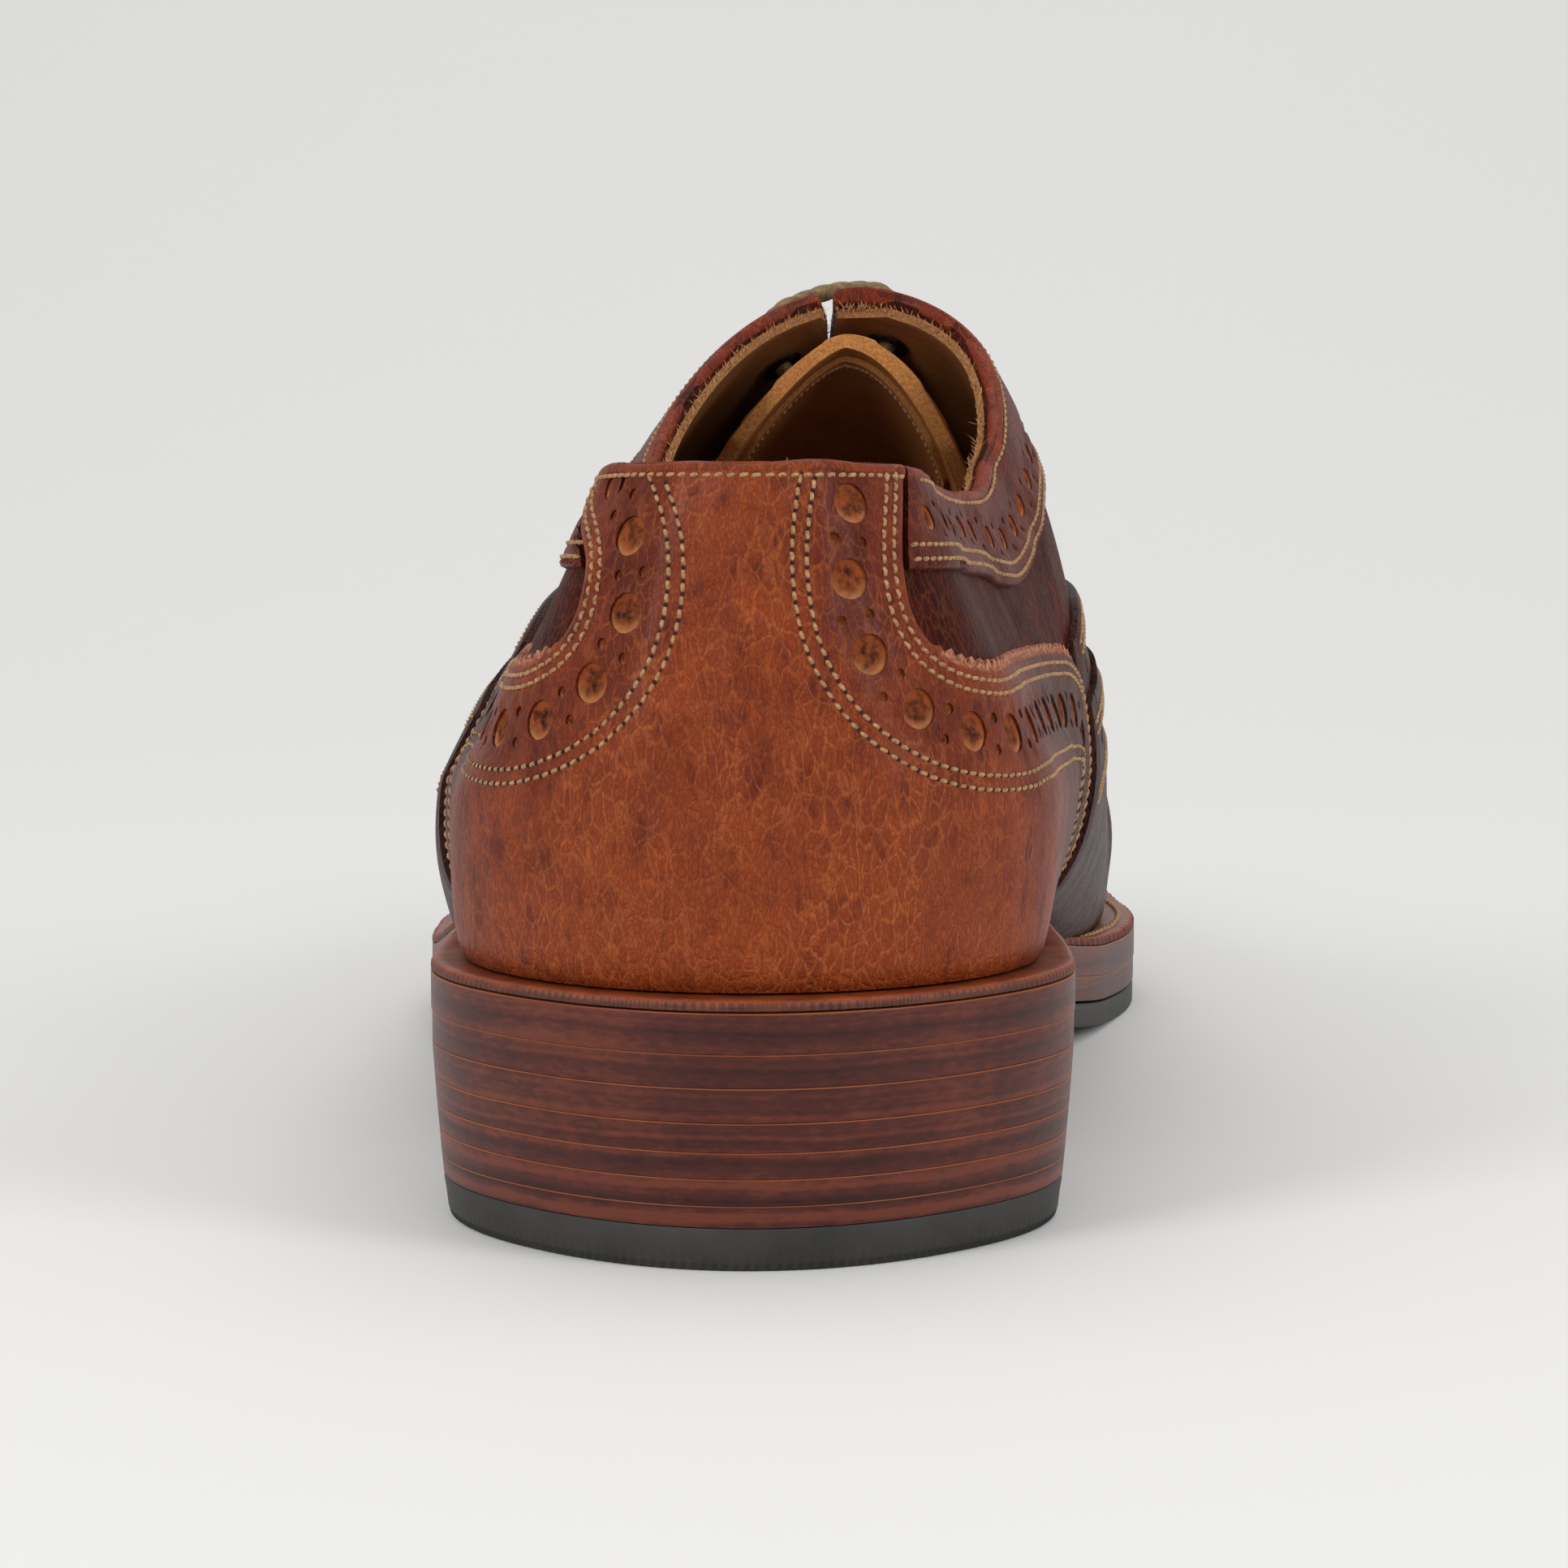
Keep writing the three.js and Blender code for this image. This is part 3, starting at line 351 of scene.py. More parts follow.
def last_point(sweep, climb, offset=0.0):
    """Points of the last, swollen by offset: climb is 0 at the feather edge and 1 on the ridge."""
    sweep, climb, offset = np.broadcast_arrays(*(np.asarray(v, float) for v in (sweep, climb, offset)))
    x, start, dx, dy = planes(sweep)
    feather, wide = feather_reach(sweep), wide_reach(sweep)
    foot = feather_height(start + dy * feather) + 0.3
    shoulder = foot + wide_rise(sweep)
    on_toe = np.abs(sweep) > heel_turn + straight
    top = np.where(on_toe, cone_height * sections[-1, 8], ridge_rise(sweep))
    ridge = feather_height(np.where(on_toe, toe_axis, start)) + top
    low = climb < wall_share
    u = np.where(low, climb / wall_share, (climb - wall_share) / (1 - wall_share))
    reach = crown_fullness(sweep) * wide
    out, out_slope = bezier(
        np.where(low, feather, wide),
        np.where(low, feather + 0.75 * (wide - feather), wide),
        np.where(low, wide, reach),
        np.where(low, wide, 0),
        u,
    )
    up, up_slope = bezier(
        np.where(low, foot, shoulder),
        np.where(low, foot + 0.1 * (shoulder - foot), shoulder + side_fullness(sweep) * (ridge - shoulder)),
        np.where(low, shoulder - 0.55 * (shoulder - foot), ridge - 0.2 * np.maximum(dy, 0) * reach),
        np.where(low, shoulder, ridge),
        u,
    )
    size = np.hypot(out_slope, up_slope)
    out, up = out + offset * up_slope / size, up - offset * out_slope / size
    y = start + dy * out
    return np.stack([x + dx * out + lean_at(y) * (up - foot) / (ridge - foot), y, up], -1)


# The surface unrolled: distance along the loop, and distance over the leather up from the feather edge.
loop_places = np.linspace(-half_loop, half_loop, 641)
climb_places = np.linspace(0, 1, 161)
skin = last_point(loop_places[:, None], climb_places[None], 0.9)
walked = np.linalg.norm(np.diff(skin, axis=1), axis=2).cumsum(1)
walked = np.concatenate([np.zeros((len(skin), 1)), walked], 1)
climb_table = np.array([np.interp(climb_places, arc / arc[-1], climb_places) for arc in walked])


def girth_at(sweep):
    return np.interp(sweep, loop_places, walked[:, -1])


def climb_at(sweep, share):
    """Climb at a share of the way over the leather from the feather edge to the ridge."""
    i = (np.clip(sweep, -half_loop, half_loop) + half_loop) / (2 * half_loop) * (len(loop_places) - 1)
    j = np.clip(share, 0, 1) * (len(climb_places) - 1)
    i0, j0 = np.minimum(i.astype(int), len(loop_places) - 2), np.minimum(j.astype(int), len(climb_places) - 2)
    a, b = i - i0, j - j0
    low = climb_table[i0, j0] * (1 - a) + climb_table[i0 + 1, j0] * a
    high = climb_table[i0, j0 + 1] * (1 - a) + climb_table[i0 + 1, j0 + 1] * a
    return low * (1 - b) + high * b


def round_foot(spots):
    """Chart for the quarters: along the loop and up the wall, and past the ridge down the other side."""
    sweep, up = spots[..., 0], spots[..., 1]
    past = up > girth_at(sweep)
    turned = np.where(past, girth_at(-sweep) + girth_at(sweep) - up, up)
    sweep = np.where(past, -sweep, sweep)
    return sweep, climb_at(sweep, turned / girth_at(sweep))


def over_toe(spots):
    """Chart for the vamp: distance down from the ridge on each side, and along the foot."""
    x, y = spots[..., 0], spots[..., 1]
    side = np.where(x < 0, -1.0, 1.0)
    angle = np.arctan2(np.maximum(y - toe_axis, 0), np.abs(x))
    down = np.where(y > toe_axis, np.hypot(x, y - toe_axis), np.abs(x))
    along = heel_turn + np.minimum(y, toe_axis) - heel_axis
    sweep = side * np.where(y > toe_axis, heel_turn + straight + toe_turn * angle / (math.pi / 2), along)
    return sweep, climb_at(sweep, 1 - down / girth_at(sweep))


# creases worn into the leather: place on the loop and height share of each end, half width, and rise in mm
creases = [
    (0.5, 0.15, 0.0, 0.85, 1.6, 0.35), (-5.5, 0.3, -6.5, 0.86, 2.2, -0.32), (6.0, 0.3, 6.8, 0.86, 2.2, -0.3),
    (-2.0, 0.5, -9.0, 0.12, 1.5, -0.2), (3.0, 0.5, 10.0, 0.14, 1.5, -0.2), (-12.0, 0.5, -16.0, 0.2, 2.5, 0.2),
    (15.0, 0.5, 21.0, 0.2, 2.5, 0.2),
    (-70.0, 0.75, -96.0, 0.35, 3.0, -0.4), (74.0, 0.72, 100.0, 0.3, 3.0, -0.4),
    (88.0, 0.85, 118.0, 0.45, 3.5, -0.45), (-86.0, 0.85, -114.0, 0.45, 3.5, -0.4),
    (206.0, 0.35, 216.0, 1.0, 2.2, -0.55), (-208.0, 0.35, -216.0, 1.0, 2.2, -0.55),
    (214.0, 0.4, 224.5, 1.0, 2.0, -0.4), (-216.0, 0.4, -224.5, 1.0, 2.0, -0.4),
    (211.0, 0.35, 220.5, 1.0, 2.2, 0.35), (-212.0, 0.35, -220.5, 1.0, 2.2, 0.35),
]


def worn(sweep, climb):
    """How far soft troughs and ridges lift the leather."""
    total = np.zeros(np.broadcast(sweep, climb).shape)
    for s0, c0, s1, c1, half, rise in creases:
        low, high = min(c0, c1), max(c0, c1)
        middle = np.interp(climb, [low, high], [s0, s1] if c0 < c1 else [s1, s0])
        fade = np.clip((climb - low) / 0.12 + 1, 0, 1) * np.clip((high - climb) / 0.12 + 1, 0, 1)
        total = total + rise * fade * np.exp(-(((sweep - middle) / half) ** 2))
    return total


def surface(chart, spots, height=1.0):
    """Points over the leather, by default where distances over it are measured."""
    sweep, climb = chart(spots)
    return last_point(sweep, climb, height + worn(sweep, climb))


def slopes_of(chart, spots, height=1.0):
    e = 0.05
    steps = np.array([[e, 0], [0, e]])
    return [(surface(chart, spots + d, height) - surface(chart, spots - d, height)) / (2 * e) for d in steps]


def pulled(chart, spots, moves):
    """Spots moved over the leather by true moves in space."""
    du, dv = slopes_of(chart, spots)
    a, b, c = (du * du).sum(-1), (du * dv).sum(-1), (dv * dv).sum(-1)
    p, q = (du * moves).sum(-1), (dv * moves).sum(-1)
    size = a * c - b * b + 1e-9
    return spots + np.stack([(c * p - b * q) / size, (a * q - b * p) / size], -1)


def directions(chart, line, height=1.0):
    """Along a line on the leather, across it to the left, and out of the leather."""
    points = surface(chart, line, height)
    along = np.gradient(points, axis=0)
    du, dv = slopes_of(chart, line, height)
    out = np.cross(du, dv)
    out /= np.linalg.norm(out, axis=1)[:, None]
    along -= out * (along * out).sum(1)[:, None]
    along /= np.linalg.norm(along, axis=1)[:, None]
    return along, np.cross(out, along), out


def beside(chart, line, distance):
    """A line moved over the leather to its left by a true distance."""
    across = directions(chart, line)[1]
    return pulled(chart, line, across * np.asarray(distance, float)[..., None])


def run_of(points):
    """Distance along a line of points."""
    return np.concatenate([[0], np.linalg.norm(np.diff(points, axis=0), axis=1).cumsum()])


def resampled(places, run, points):
    return np.stack([np.interp(places, run, column) for column in points.T], 1)


def nearest(spots, others):
    """Distance from each spot to the nearest of the others."""
    return np.min(((spots[:, None] - others[None]) ** 2).sum(-1), 1) ** 0.5


def even(chart, line, step, closed=False):
    """Spots at even true distances along a line."""
    if closed:
        line = np.concatenate([line, line[:1]])
    run = run_of(surface(chart, line))
    count = max(2, round(run[-1] / step))
    places = np.linspace(0, run[-1], count + 1)[: count if closed else count + 1]
    return resampled(places, run, line)


def curve(points, per):
    """A smooth curve through spots."""
    points = np.asarray(points, float)
    run = run_of(points)
    slopes = np.gradient(points, run, axis=0)
    places = np.linspace(0, run[-1], per * len(points))
    return np.stack([hermite(run, points[:, k], slopes[:, k], places) for k in (0, 1)], 1)


def softened(line, reach):
    """A line with its corners rounded over a number of its points on each side."""
    padded = np.concatenate([np.repeat(line[:1], reach, 0), line, np.repeat(line[-1:], reach, 0)])
    kernel = np.hanning(2 * reach + 3)[1:-1]
    soft = np.stack([np.convolve(padded[:, k], kernel / kernel.sum(), "valid") for k in (0, 1)], 1)
    soft[0], soft[-1] = line[0], line[-1]
    return soft


def locate(chart, seeds, view, targets):
    """Spots whose points lie at targets in a view, such as axes 1 and 2 for the side view."""
    targets, view = np.asarray(targets, float), list(view)
    points = surface(chart, seeds)[:, view]
    spots = seeds[((points[None] - targets[:, None]) ** 2).sum(-1).argmin(1)].copy()
    for _ in range(6):
        miss = targets - surface(chart, spots)[:, view]
        du, dv = (d[:, view] for d in slopes_of(chart, spots))
        a, b, c = (du * du).sum(1) + 1e-4, (du * dv).sum(1), (dv * dv).sum(1) + 1e-4
        p, q = (du * miss).sum(1), (dv * miss).sum(1)
        step = np.stack([c * p - b * q, a * q - b * p], 1) / (a * c - b * b)[:, None]
        spots += np.clip(step, -2, 2)
    return spots


def seeds_on(low, high, top=1.0):
    """Spots spread over part of the wall, between two places on the loop."""
    sweeps = np.arange(low, high, 1.5)
    return np.array([(s, share * girth_at(s)) for s in sweeps for share in np.arange(0.02, top, 0.015)])


def side_view(table):
    table = np.asarray(table, float)
    return np.stack([sole_length * table[:, 0], seat_height + cone_height * table[:, 1]], 1)


# Where each column of the upper ends: at the collar's edge, at the gap between the facings, or in front of
# the throat where the two sides meet.
collar_line = curve(side_view(topline), 20)
rims = []
for sweep, arc in zip(loop_places, walked):
    side = -1 if sweep < 0 else 1
    ups = np.concatenate([arc, arc[-1] + np.arange(0.5, 14, 0.5)])
    x, y, z = surface(round_foot, np.stack([np.full(len(ups), sweep), ups], 1), 0.5).T
    here = y[len(arc) - 1]
    half_gap = np.interp(here, [111, 117, 123, throat, throat + 1], [1.3, 0.9, 0.3, 0.3, 0.0])
    cut = (gap_at(y) + side * half_gap - x) * side
    mouth = np.where(y < collar_line[-1, 0], z - np.interp(y, *collar_line.T), -1)
    beyond = np.maximum(cut, mouth) if abs(sweep) > heel_turn else mouth
    beyond = beyond if abs(sweep) < heel_turn + straight else np.full(len(ups), -1.0)
    k = int(np.argmax(beyond[1:] > 0)) if (beyond[1:] > 0).any() else -1
    if k < 0:
        rims.append(arc[-1])
    else:
        share = beyond[k] / (beyond[k] - beyond[k + 1])
        rims.append(ups[k] + share * (ups[k + 1] - ups[k]))
rims = np.array(rims)


def rim_at(sweep):
    return np.interp(sweep, loop_places, rims)


shift = np.zeros(3)
outline_x, _, outline_dx, _ = planes(loop_places)
sole_x = outline_x + outline_dx * sole_reach(loop_places)
midsole_low, midsole_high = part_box("midsole")
shift[0] = 500 * (midsole_low.x + midsole_high.x) - (sole_x.min() + sole_x.max()) / 2
shift[1] = 1000 * midsole_low.y


sharp_turn = math.radians(50)


def piece(name, points, faces, finish, slot, stands_for=(), values=None):
    """A mesh from points in the shoe's millimetres, finished and fixed to the shoe."""
    mesh = bpy.data.meshes.new(name)
    mesh.from_pydata(((np.asarray(points) + shift) / 1000).tolist(), [], [list(map(int, f)) for f in faces])
    for key, value in (values or {}).items():
        mesh.attributes.new(key, "FLOAT", "POINT").data.foreach_set("value", np.asarray(value, np.float32))
    mesh.materials.append(finish.material)
    mesh.shade_smooth()
    mesh.set_sharp_from_angle(angle=sharp_turn)
    made = bpy.data.objects.new(name, mesh)
    scene.collection.objects.link(made)
    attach(made, "root")
    if stands_for:
        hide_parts(*stands_for)
    return made


def band(rows, columns, closed=False):
    """Faces of a grid of points, row by row."""
    across = columns if closed else columns - 1
    i, j = np.meshgrid(np.arange(rows - 1), np.arange(across), indexing="ij")
    a, b = i * columns + j, i * columns + (j + 1) % columns
    return np.stack([a, b, b + columns, a + columns], -1).reshape(-1, 4)


def leather(name, warm, middle, dark, grain=1.0, gloss=0.12, vein=0.6, shine=0.14):
    """Vegetable-tanned pebbled leather: lighter veins between the pebbles, and a dark burnish, which on the
    counter also holds painted shade.
    """
    made = Finish(name)
    flow = made.stretched(1, 1, 0.5)
    waves = {"Vector": flow, "Scale": 0.35, "Detail": 2.0}
    drift = made.node("ShaderNodeTexNoise", inputs=waves, output="Color")
    moved = made.node("ShaderNodeVectorMath", {"operation": "SCALE"}, {"Vector": drift, "Scale": 2.2})
    where = made.node("ShaderNodeVectorMath", {"operation": "ADD"}, {0: flow, 1: moved})
    wander = made.noise(flow, 0.25, 2)
    pebble = made.cells(where, 0.74)
    crack = 1 - pebble.over(0.0, 0.13)
    groove = 1 - pebble.over(0.0, 0.22)
    fine = made.cells(where, 2.1)
    fine_crack = 1 - fine.over(0.0, 0.16)
    patch = made.noise(flow, 0.13, 3, 0.6).over(0.4, 0.62)
    burnish = made.value("burnish")
    raw = made.value("raw")
    mottle = made.noise(made.place, 150, 4, 0.6)
    spots = made.noise(flow, 0.42, 3, 0.6).over(0.5, 0.72)
    tone = (burnish + (mottle - 0.5) * 0.7 + (wander - 0.5) * 0.4 + spots * 0.3).clip()
    base = made.ramp(tone, (0.0, linear(warm)), (0.45, linear(middle)), (1.0, linear(dark)))
    light = made.mix(0.5, base, linear("C8703A"))
    lines = (crack * (0.35 + patch * 0.65) * vein * (1 - burnish * 0.7)).clip()
    colour = made.mix(lines, base, light)
    colour = made.mix((fine_crack * 0.3).clip(), colour, linear(dark))
    fibres = made.grain(2.2, 3)
    colour = made.mix(raw, colour, made.ramp(fibres, (0.35, linear("8A4A2C")), (0.65, linear("CC947A"))))
    pores = made.grain(3.2, 2)
    height = (1 - groove) * 0.55 + (1 - fine_crack) * 0.3 + pores * 0.25
    soft = made.bump(made.noise(made.stretched(1, 1, 0.35), 0.16, 3), 0.0012, 0.5)
    made.set(
        Base_Color=colour,
        Roughness=(0.46 + (mottle - 0.5) * 0.25 + crack * 0.1 + raw * 0.3).clip(),
        Normal=made.bump(height, 0.00022 * grain, 0.8, soft),
        Coat_Weight=(gloss + (wander - 0.5) * 0.2 - raw).clip(),
        Coat_Roughness=0.24,
        Coat_IOR=1.38,
        Specular_IOR_Level=shine,
    )
    return made


quarter_leather = leather("quarter_leather", "84240A", "5A1406", "300A04", 1.5, 0.0, shine=0.06)
lining_leather = Finish("lining_leather")
lining_grain = lining_leather.grain(0.9, 4, 0.6)
lining_raw = lining_leather.value("raw")
lining_soft = lining_leather.noise(lining_leather.place, 45, 3)
lining_base = lining_leather.ramp(lining_soft, (0.3, linear("74441F")), (0.7, linear("96602F")))
lining_fibre = lining_leather.grain(3.0, 4, 0.7)
lining_tan = lining_leather.ramp(lining_fibre, (0.3, linear("6E3E1C")), (0.7, linear("B07C48")))
lining_leather.set(
    Base_Color=lining_leather.mix(lining_raw, lining_base, lining_tan),
    Roughness=0.62 + lining_raw * 0.3,
    Normal=lining_leather.bump(lining_grain, 0.0002, 0.6),
)

column_count, row_count = 353, 41
columns = np.linspace(-half_loop, half_loop, column_count)
heights = np.linspace(0, 1, row_count)
wall_spots = np.stack(
    [np.broadcast_to(columns, (row_count, column_count)), heights[:, None] * rim_at(columns)[None]], -1
).reshape(-1, 2)


def shell(high, low, drop=0.0):
    """A closed sheet over the whole upper between two heights, and its faces."""
    outside = surface(round_foot, wall_spots, high)
    inside = surface(round_foot, wall_spots, low)
    inside[:, 2] -= np.repeat(np.linspace(0, drop, row_count), column_count)
    grid = band(row_count, column_count)
    count = len(wall_spots)
    top, bottom = np.arange(column_count) + (row_count - 1) * column_count, np.arange(column_count)
    pairs = range(column_count - 1)
    walls = [(top[i], top[i + 1], top[i + 1] + count, top[i] + count) for i in pairs]
    feet = [(bottom[i + 1], bottom[i], bottom[i] + count, bottom[i + 1] + count) for i in pairs]
    return np.concatenate([outside, inside]), [*grid, *(grid[:, ::-1] + count), *walls, *feet]


quarter_points, quarter_faces = shell(0.0, -1.1, 0.3)
edge_near = np.tile(np.repeat(heights, column_count), 2)
piece("quarters", quarter_points, quarter_faces, quarter_leather, "quarter_leather", ["upper"],
      {"burnish": 0.65 + 0.25 * edge_near})
lining_points, lining_faces = shell(-1.15, -2.0, 0.4)
raw_edge = np.tile(np.repeat(np.where(heights > 0.999, 1.0, 0.0), column_count), 2)
piece("lining", lining_points, lining_faces, lining_leather, "lining_leather", ["upper"], {"raw": raw_edge})


# Counter: the heel's outer piece, of lighter calf, with a strap up each side to the collar. Its edge is
# pinked where it runs level. Two rows of stitches follow the edge and two lie inside, and holes are punched
# between them down to a backing of light leather, with a painted highlight on the lower rim of each hole.
seat_line = 1.9


def panel(chart, outline, high, low, holes=(), lines=(), spacing=1.7, edge_drop=0.35, hole_drop=0.3):
    """A leather panel between two heights: its outline and holes are cut square, with soft rims."""
    rings = [np.asarray(outline), *[np.asarray(h) for h in holes]]
    spots, heights_of, edges, ring_of = [], [], [], []
    count = 0
    for index, ring in enumerate(rings):
        area = 0.5 * np.sum(ring[:, 0] * np.roll(ring[:, 1], -1) - np.roll(ring[:, 0], -1) * ring[:, 1])
        if (area > 0) != (index == 0):
            ring = ring[::-1]
        rings[index] = ring
        ids = count + np.arange(len(ring))
        spots.append(ring)
        heights_of.append(np.full(len(ring), high - (edge_drop if index == 0 else hole_drop)))
        edges.extend(zip(ids, np.roll(ids, -1)))
        ring_of.append(np.full(len(ring), index))
        count += len(ring)
    for line, dip in lines:
        spots.append(line)
        heights_of.append(np.full(len(line), high - dip))
        ring_of.append(np.full(len(line), -1))
    fixed = np.concatenate(spots)
    low_corner, high_corner = rings[0].min(0), rings[0].max(0)
    rows = np.arange(low_corner[1], high_corner[1], spacing * 0.87)
    grid = np.array([
        (x + (i % 2) * spacing / 2, y)
        for i, y in enumerate(rows) for x in np.arange(low_corner[0], high_corner[0], spacing)
    ])
    grid = grid[inside(grid, rings[0])]
    clear = np.ones(len(grid), bool)
    for start in range(0, len(grid), 400):
        part = grid[start : start + 400]
        apart = ((part[:, None] - fixed[None]) ** 2).sum(-1).min(1)
        clear[start : start + 400] = apart > (0.62 * spacing) ** 2
    grid = grid[clear]
    for ring in rings[1:]:
        centre = ring.mean(0)
        grid = grid[((grid - centre) ** 2).sum(1) > ((ring - centre) ** 2).sum(1).max() * 1.05]
    spots = np.concatenate([fixed, grid])
    levels = np.concatenate([*heights_of, np.full(len(grid), high)])
    owner = np.concatenate([*ring_of, np.full(len(grid), -1)])
    made = delaunay_2d_cdt([Vector(p) for p in spots], [tuple(map(int, e)) for e in edges], [], 0, 1e-5)
    flat, found, origins = np.array([tuple(v) for v in made[0]]), np.array([f for f in made[2]]), made[3]
    source = np.array([o[0] if o else -1 for o in origins])
    levels = np.where(source >= 0, levels[source], high)
    owner = np.where(source >= 0, owner[source], -1)
    middle = flat[found].mean(1)
    rings_at = owner[found]
    in_hole = (rings_at[:, 0] > 0) & (rings_at[:, 0] == rings_at[:, 1]) & (rings_at[:, 1] == rings_at[:, 2])
    found = found[inside(middle, rings[0]) & ~in_hole]
    a, b, c = flat[found[:, 0]], flat[found[:, 1]], flat[found[:, 2]]
    turn = (b[:, 0] - a[:, 0]) * (c[:, 1] - a[:, 1]) - (b[:, 1] - a[:, 1]) * (c[:, 0] - a[:, 0])
    found = np.where((turn > 0)[:, None], found, found[:, ::-1])[np.abs(turn) > 1e-9]
    used = np.unique(found)
    renumber = np.full(len(flat), -1)
    renumber[used] = np.arange(len(used))
    found, flat, levels = renumber[found], flat[used], levels[used]
    number = len(flat)
    pairs = {}
    for tri in found.tolist():
        for p, q in ((tri[0], tri[1]), (tri[1], tri[2]), (tri[2], tri[0])):
            pairs[(p, q)] = True
    rim = [(p, q) for p, q in pairs if (q, p) not in pairs]
    walls = [(p, p + number, q + number, q) for p, q in rim]
    top = surface(chart, flat, levels)
    bottom = surface(chart, flat, low)
    faces = [*found.tolist(), *(found[:, ::-1] + number).tolist(), *walls]
    return np.concatenate([top, bottom]), faces, flat


def inside(spots, ring):
    """Which spots lie within a closed outline."""
    found = np.zeros(len(spots), bool)
    x, y = spots[:, 0], spots[:, 1]
    for (x0, y0), (x1, y1) in zip(ring, np.roll(ring, -1, 0)):
        if y0 != y1:
            crossed = (y0 > y) != (y1 > y)
            found ^= crossed & (x < (x1 - x0) * (y - y0) / (y1 - y0) + x0)
    return found


def foot_line(low, high, count):
    """Spots along the foot of the upper, just above the welt."""
    sweeps = np.linspace(low, high, count)
    ups = []
    for s in sweeps:
        z = surface(round_foot, np.stack([np.full(40, s), np.linspace(0, 8, 40)], 1), 1.0)
        ups.append(np.interp(seat_line, z[:, 2] - feather_height(z[:, 1]), np.linspace(0, 8, 40)))
    return np.stack([sweeps, ups], 1)


def circle(count):
    return 2 * math.pi * np.arange(count) / count


def ring_at(chart, spot, along, across, radius, sides):
    turns = circle(sides)
    moves = radius * (np.cos(turns)[:, None] * along + np.sin(turns)[:, None] * across)
    return pulled(chart, np.repeat(spot[None], sides, 0), moves)


def gimped(chart, line, pitch, depth, where=None):
    """A pinked edge: a line with small teeth to its right, along the part that where picks."""
    length = run_of(surface(chart, line))[-1]
    fine = even(chart, line, length / (4 * round(length / pitch)))
    tooth = np.resize([0.0, 0.6, 1.0, 0.6], len(fine)) * depth
    if where is not None:
        tooth *= where(surface(chart, fine))
    return beside(chart, fine, -tooth)


def brogueing(chart, line, pitch, big, small, sides=20):
    """Large holes along a line with a pair of small ones between each."""
    places = even(chart, line, pitch / 2)
    along, across, _ = directions(chart, places)
    large, little = [], []
    for i in range(1, len(places) - 1):
        if i % 2:
            large.append(ring_at(chart, places[i], along[i], across[i], big / 2, sides))
        else:
            for side in (-1, 1):
                spot = pulled(chart, places[i][None], across[i][None] * side * 1.8)[0]
                little.append(ring_at(chart, spot, along[i], across[i], small / 2, 8))
    return large, little


def merged(parts):
    """Several meshes as one."""
    points, faces, count = [], [], 0
    for some_points, some_faces in parts:
        points.append(some_points)
        faces.extend([[v + count for v in f] for f in some_faces])
        count += len(some_points)
    return np.concatenate(points), faces


stitch_rings = [
    (-0.5, 0.5, -0.28), (-0.34, 0.9, -0.06), (0.0, 1.0, 0.06), (0.34, 0.9, -0.06), (0.5, 0.5, -0.28),
]
stitch_sink = 0.06


def sewn(at, frames, length, wide, tall, rise, sides):
    """Copies of one arched stitch, at places and along axes."""
    shape = np.array([
        (x * length, wide * r * math.cos(a), rise * lift + tall * r * math.sin(a))
        for x, r, lift in stitch_rings for a in circle(sides)
    ])
    count = len(shape)
    grid = band(len(stitch_rings), sides, closed=True)[:, ::-1].tolist()
    one = [*grid, list(range(sides)), list(range(count - 1, count - sides - 1, -1))]
    points = at[:, None] + np.einsum("vk,nkj->nvj", shape, np.stack(frames, 1))
    return points.reshape(-1, 3), [[v + i * count for v in f] for i in range(len(at)) for f in one]


def stitches(chart, line, height, pitch=1.45, length=1.2, thick=0.5, slant=0.14, face=1, offset=0.5):
    """A row of stitches: short arched lengths of thread, each a little aslant."""
    spots = even(chart, line, pitch)
    spots = spots[:-1] + offset * (spots[1:] - spots[:-1])
    if len(spots) < 3:
        return np.zeros((0, 3)), []
    along, across, out = directions(chart, spots, height)
    across, out = face * across, face * out
    along, across = along + slant * across, across - slant * along
    at = surface(chart, spots, height)
    return sewn(at, [along, across, out], length, thick / 2, thick / 2, 1.0, 6)


def needle_holes(chart, line, height):
    """Dark beads level with the leather, where the needle went in between the stitches of a row: painted
    shade for the inside of each needle hole.
    """
    spots = even(chart, line, 1.45)
    return stitches(chart, spots, height - 0.2, 1.45, 0.55, 0.62, 0.0, offset=0)


def hole_floors(name, chart, rings, height, low, slot, dome=0.15):
    """The leather that shows at the bottom of each hole, as one piece, with a painted highlight on the lower
    side of its rim.
    """
    parts, lit, deep = [], [], []
    for ring in rings:
        sides = len(ring)
        centre = ring.mean(0)
        wide = centre + (ring - centre) * 1.04
        half = centre + (ring - centre) * 0.55
        top = np.concatenate([surface(chart, wide, height + 0.12), surface(chart, half, height + dome * 0.5),
                              surface(chart, centre[None], height + dome), surface(chart, wide, low)])
        faces = []
        for i in range(sides):
            j = (i + 1) % sides
            faces += [(i, j, sides + j, sides + i), (sides + i, sides + j, 2 * sides),
                      (i, 2 * sides + 1 + i, 2 * sides + 1 + j, j)]
        faces.append(list(range(3 * sides, 2 * sides, -1)))
        parts.append((top, faces))
        # Painted highlight: each floor's rim is lighter on its lower side, where light from above falls into
        # the hole.
        level = top[:sides, 2] - top[:sides, 2].mean()
        painted_light_crescent = np.clip(0.45 - 0.75 * level / (np.abs(level).max() + 1e-9), 0, 1)
        lit.append(np.concatenate([painted_light_crescent, 0.2 * painted_light_crescent, [0.0], painted_light_crescent]))
        deep.append(np.concatenate([np.zeros(sides), np.full(sides, 0.6), [1.0], np.zeros(sides)]))
    values = {"rim": np.concatenate(lit), "middle": np.concatenate(deep)}
    piece(name, *merged(parts), hole_floor, slot, values=values)


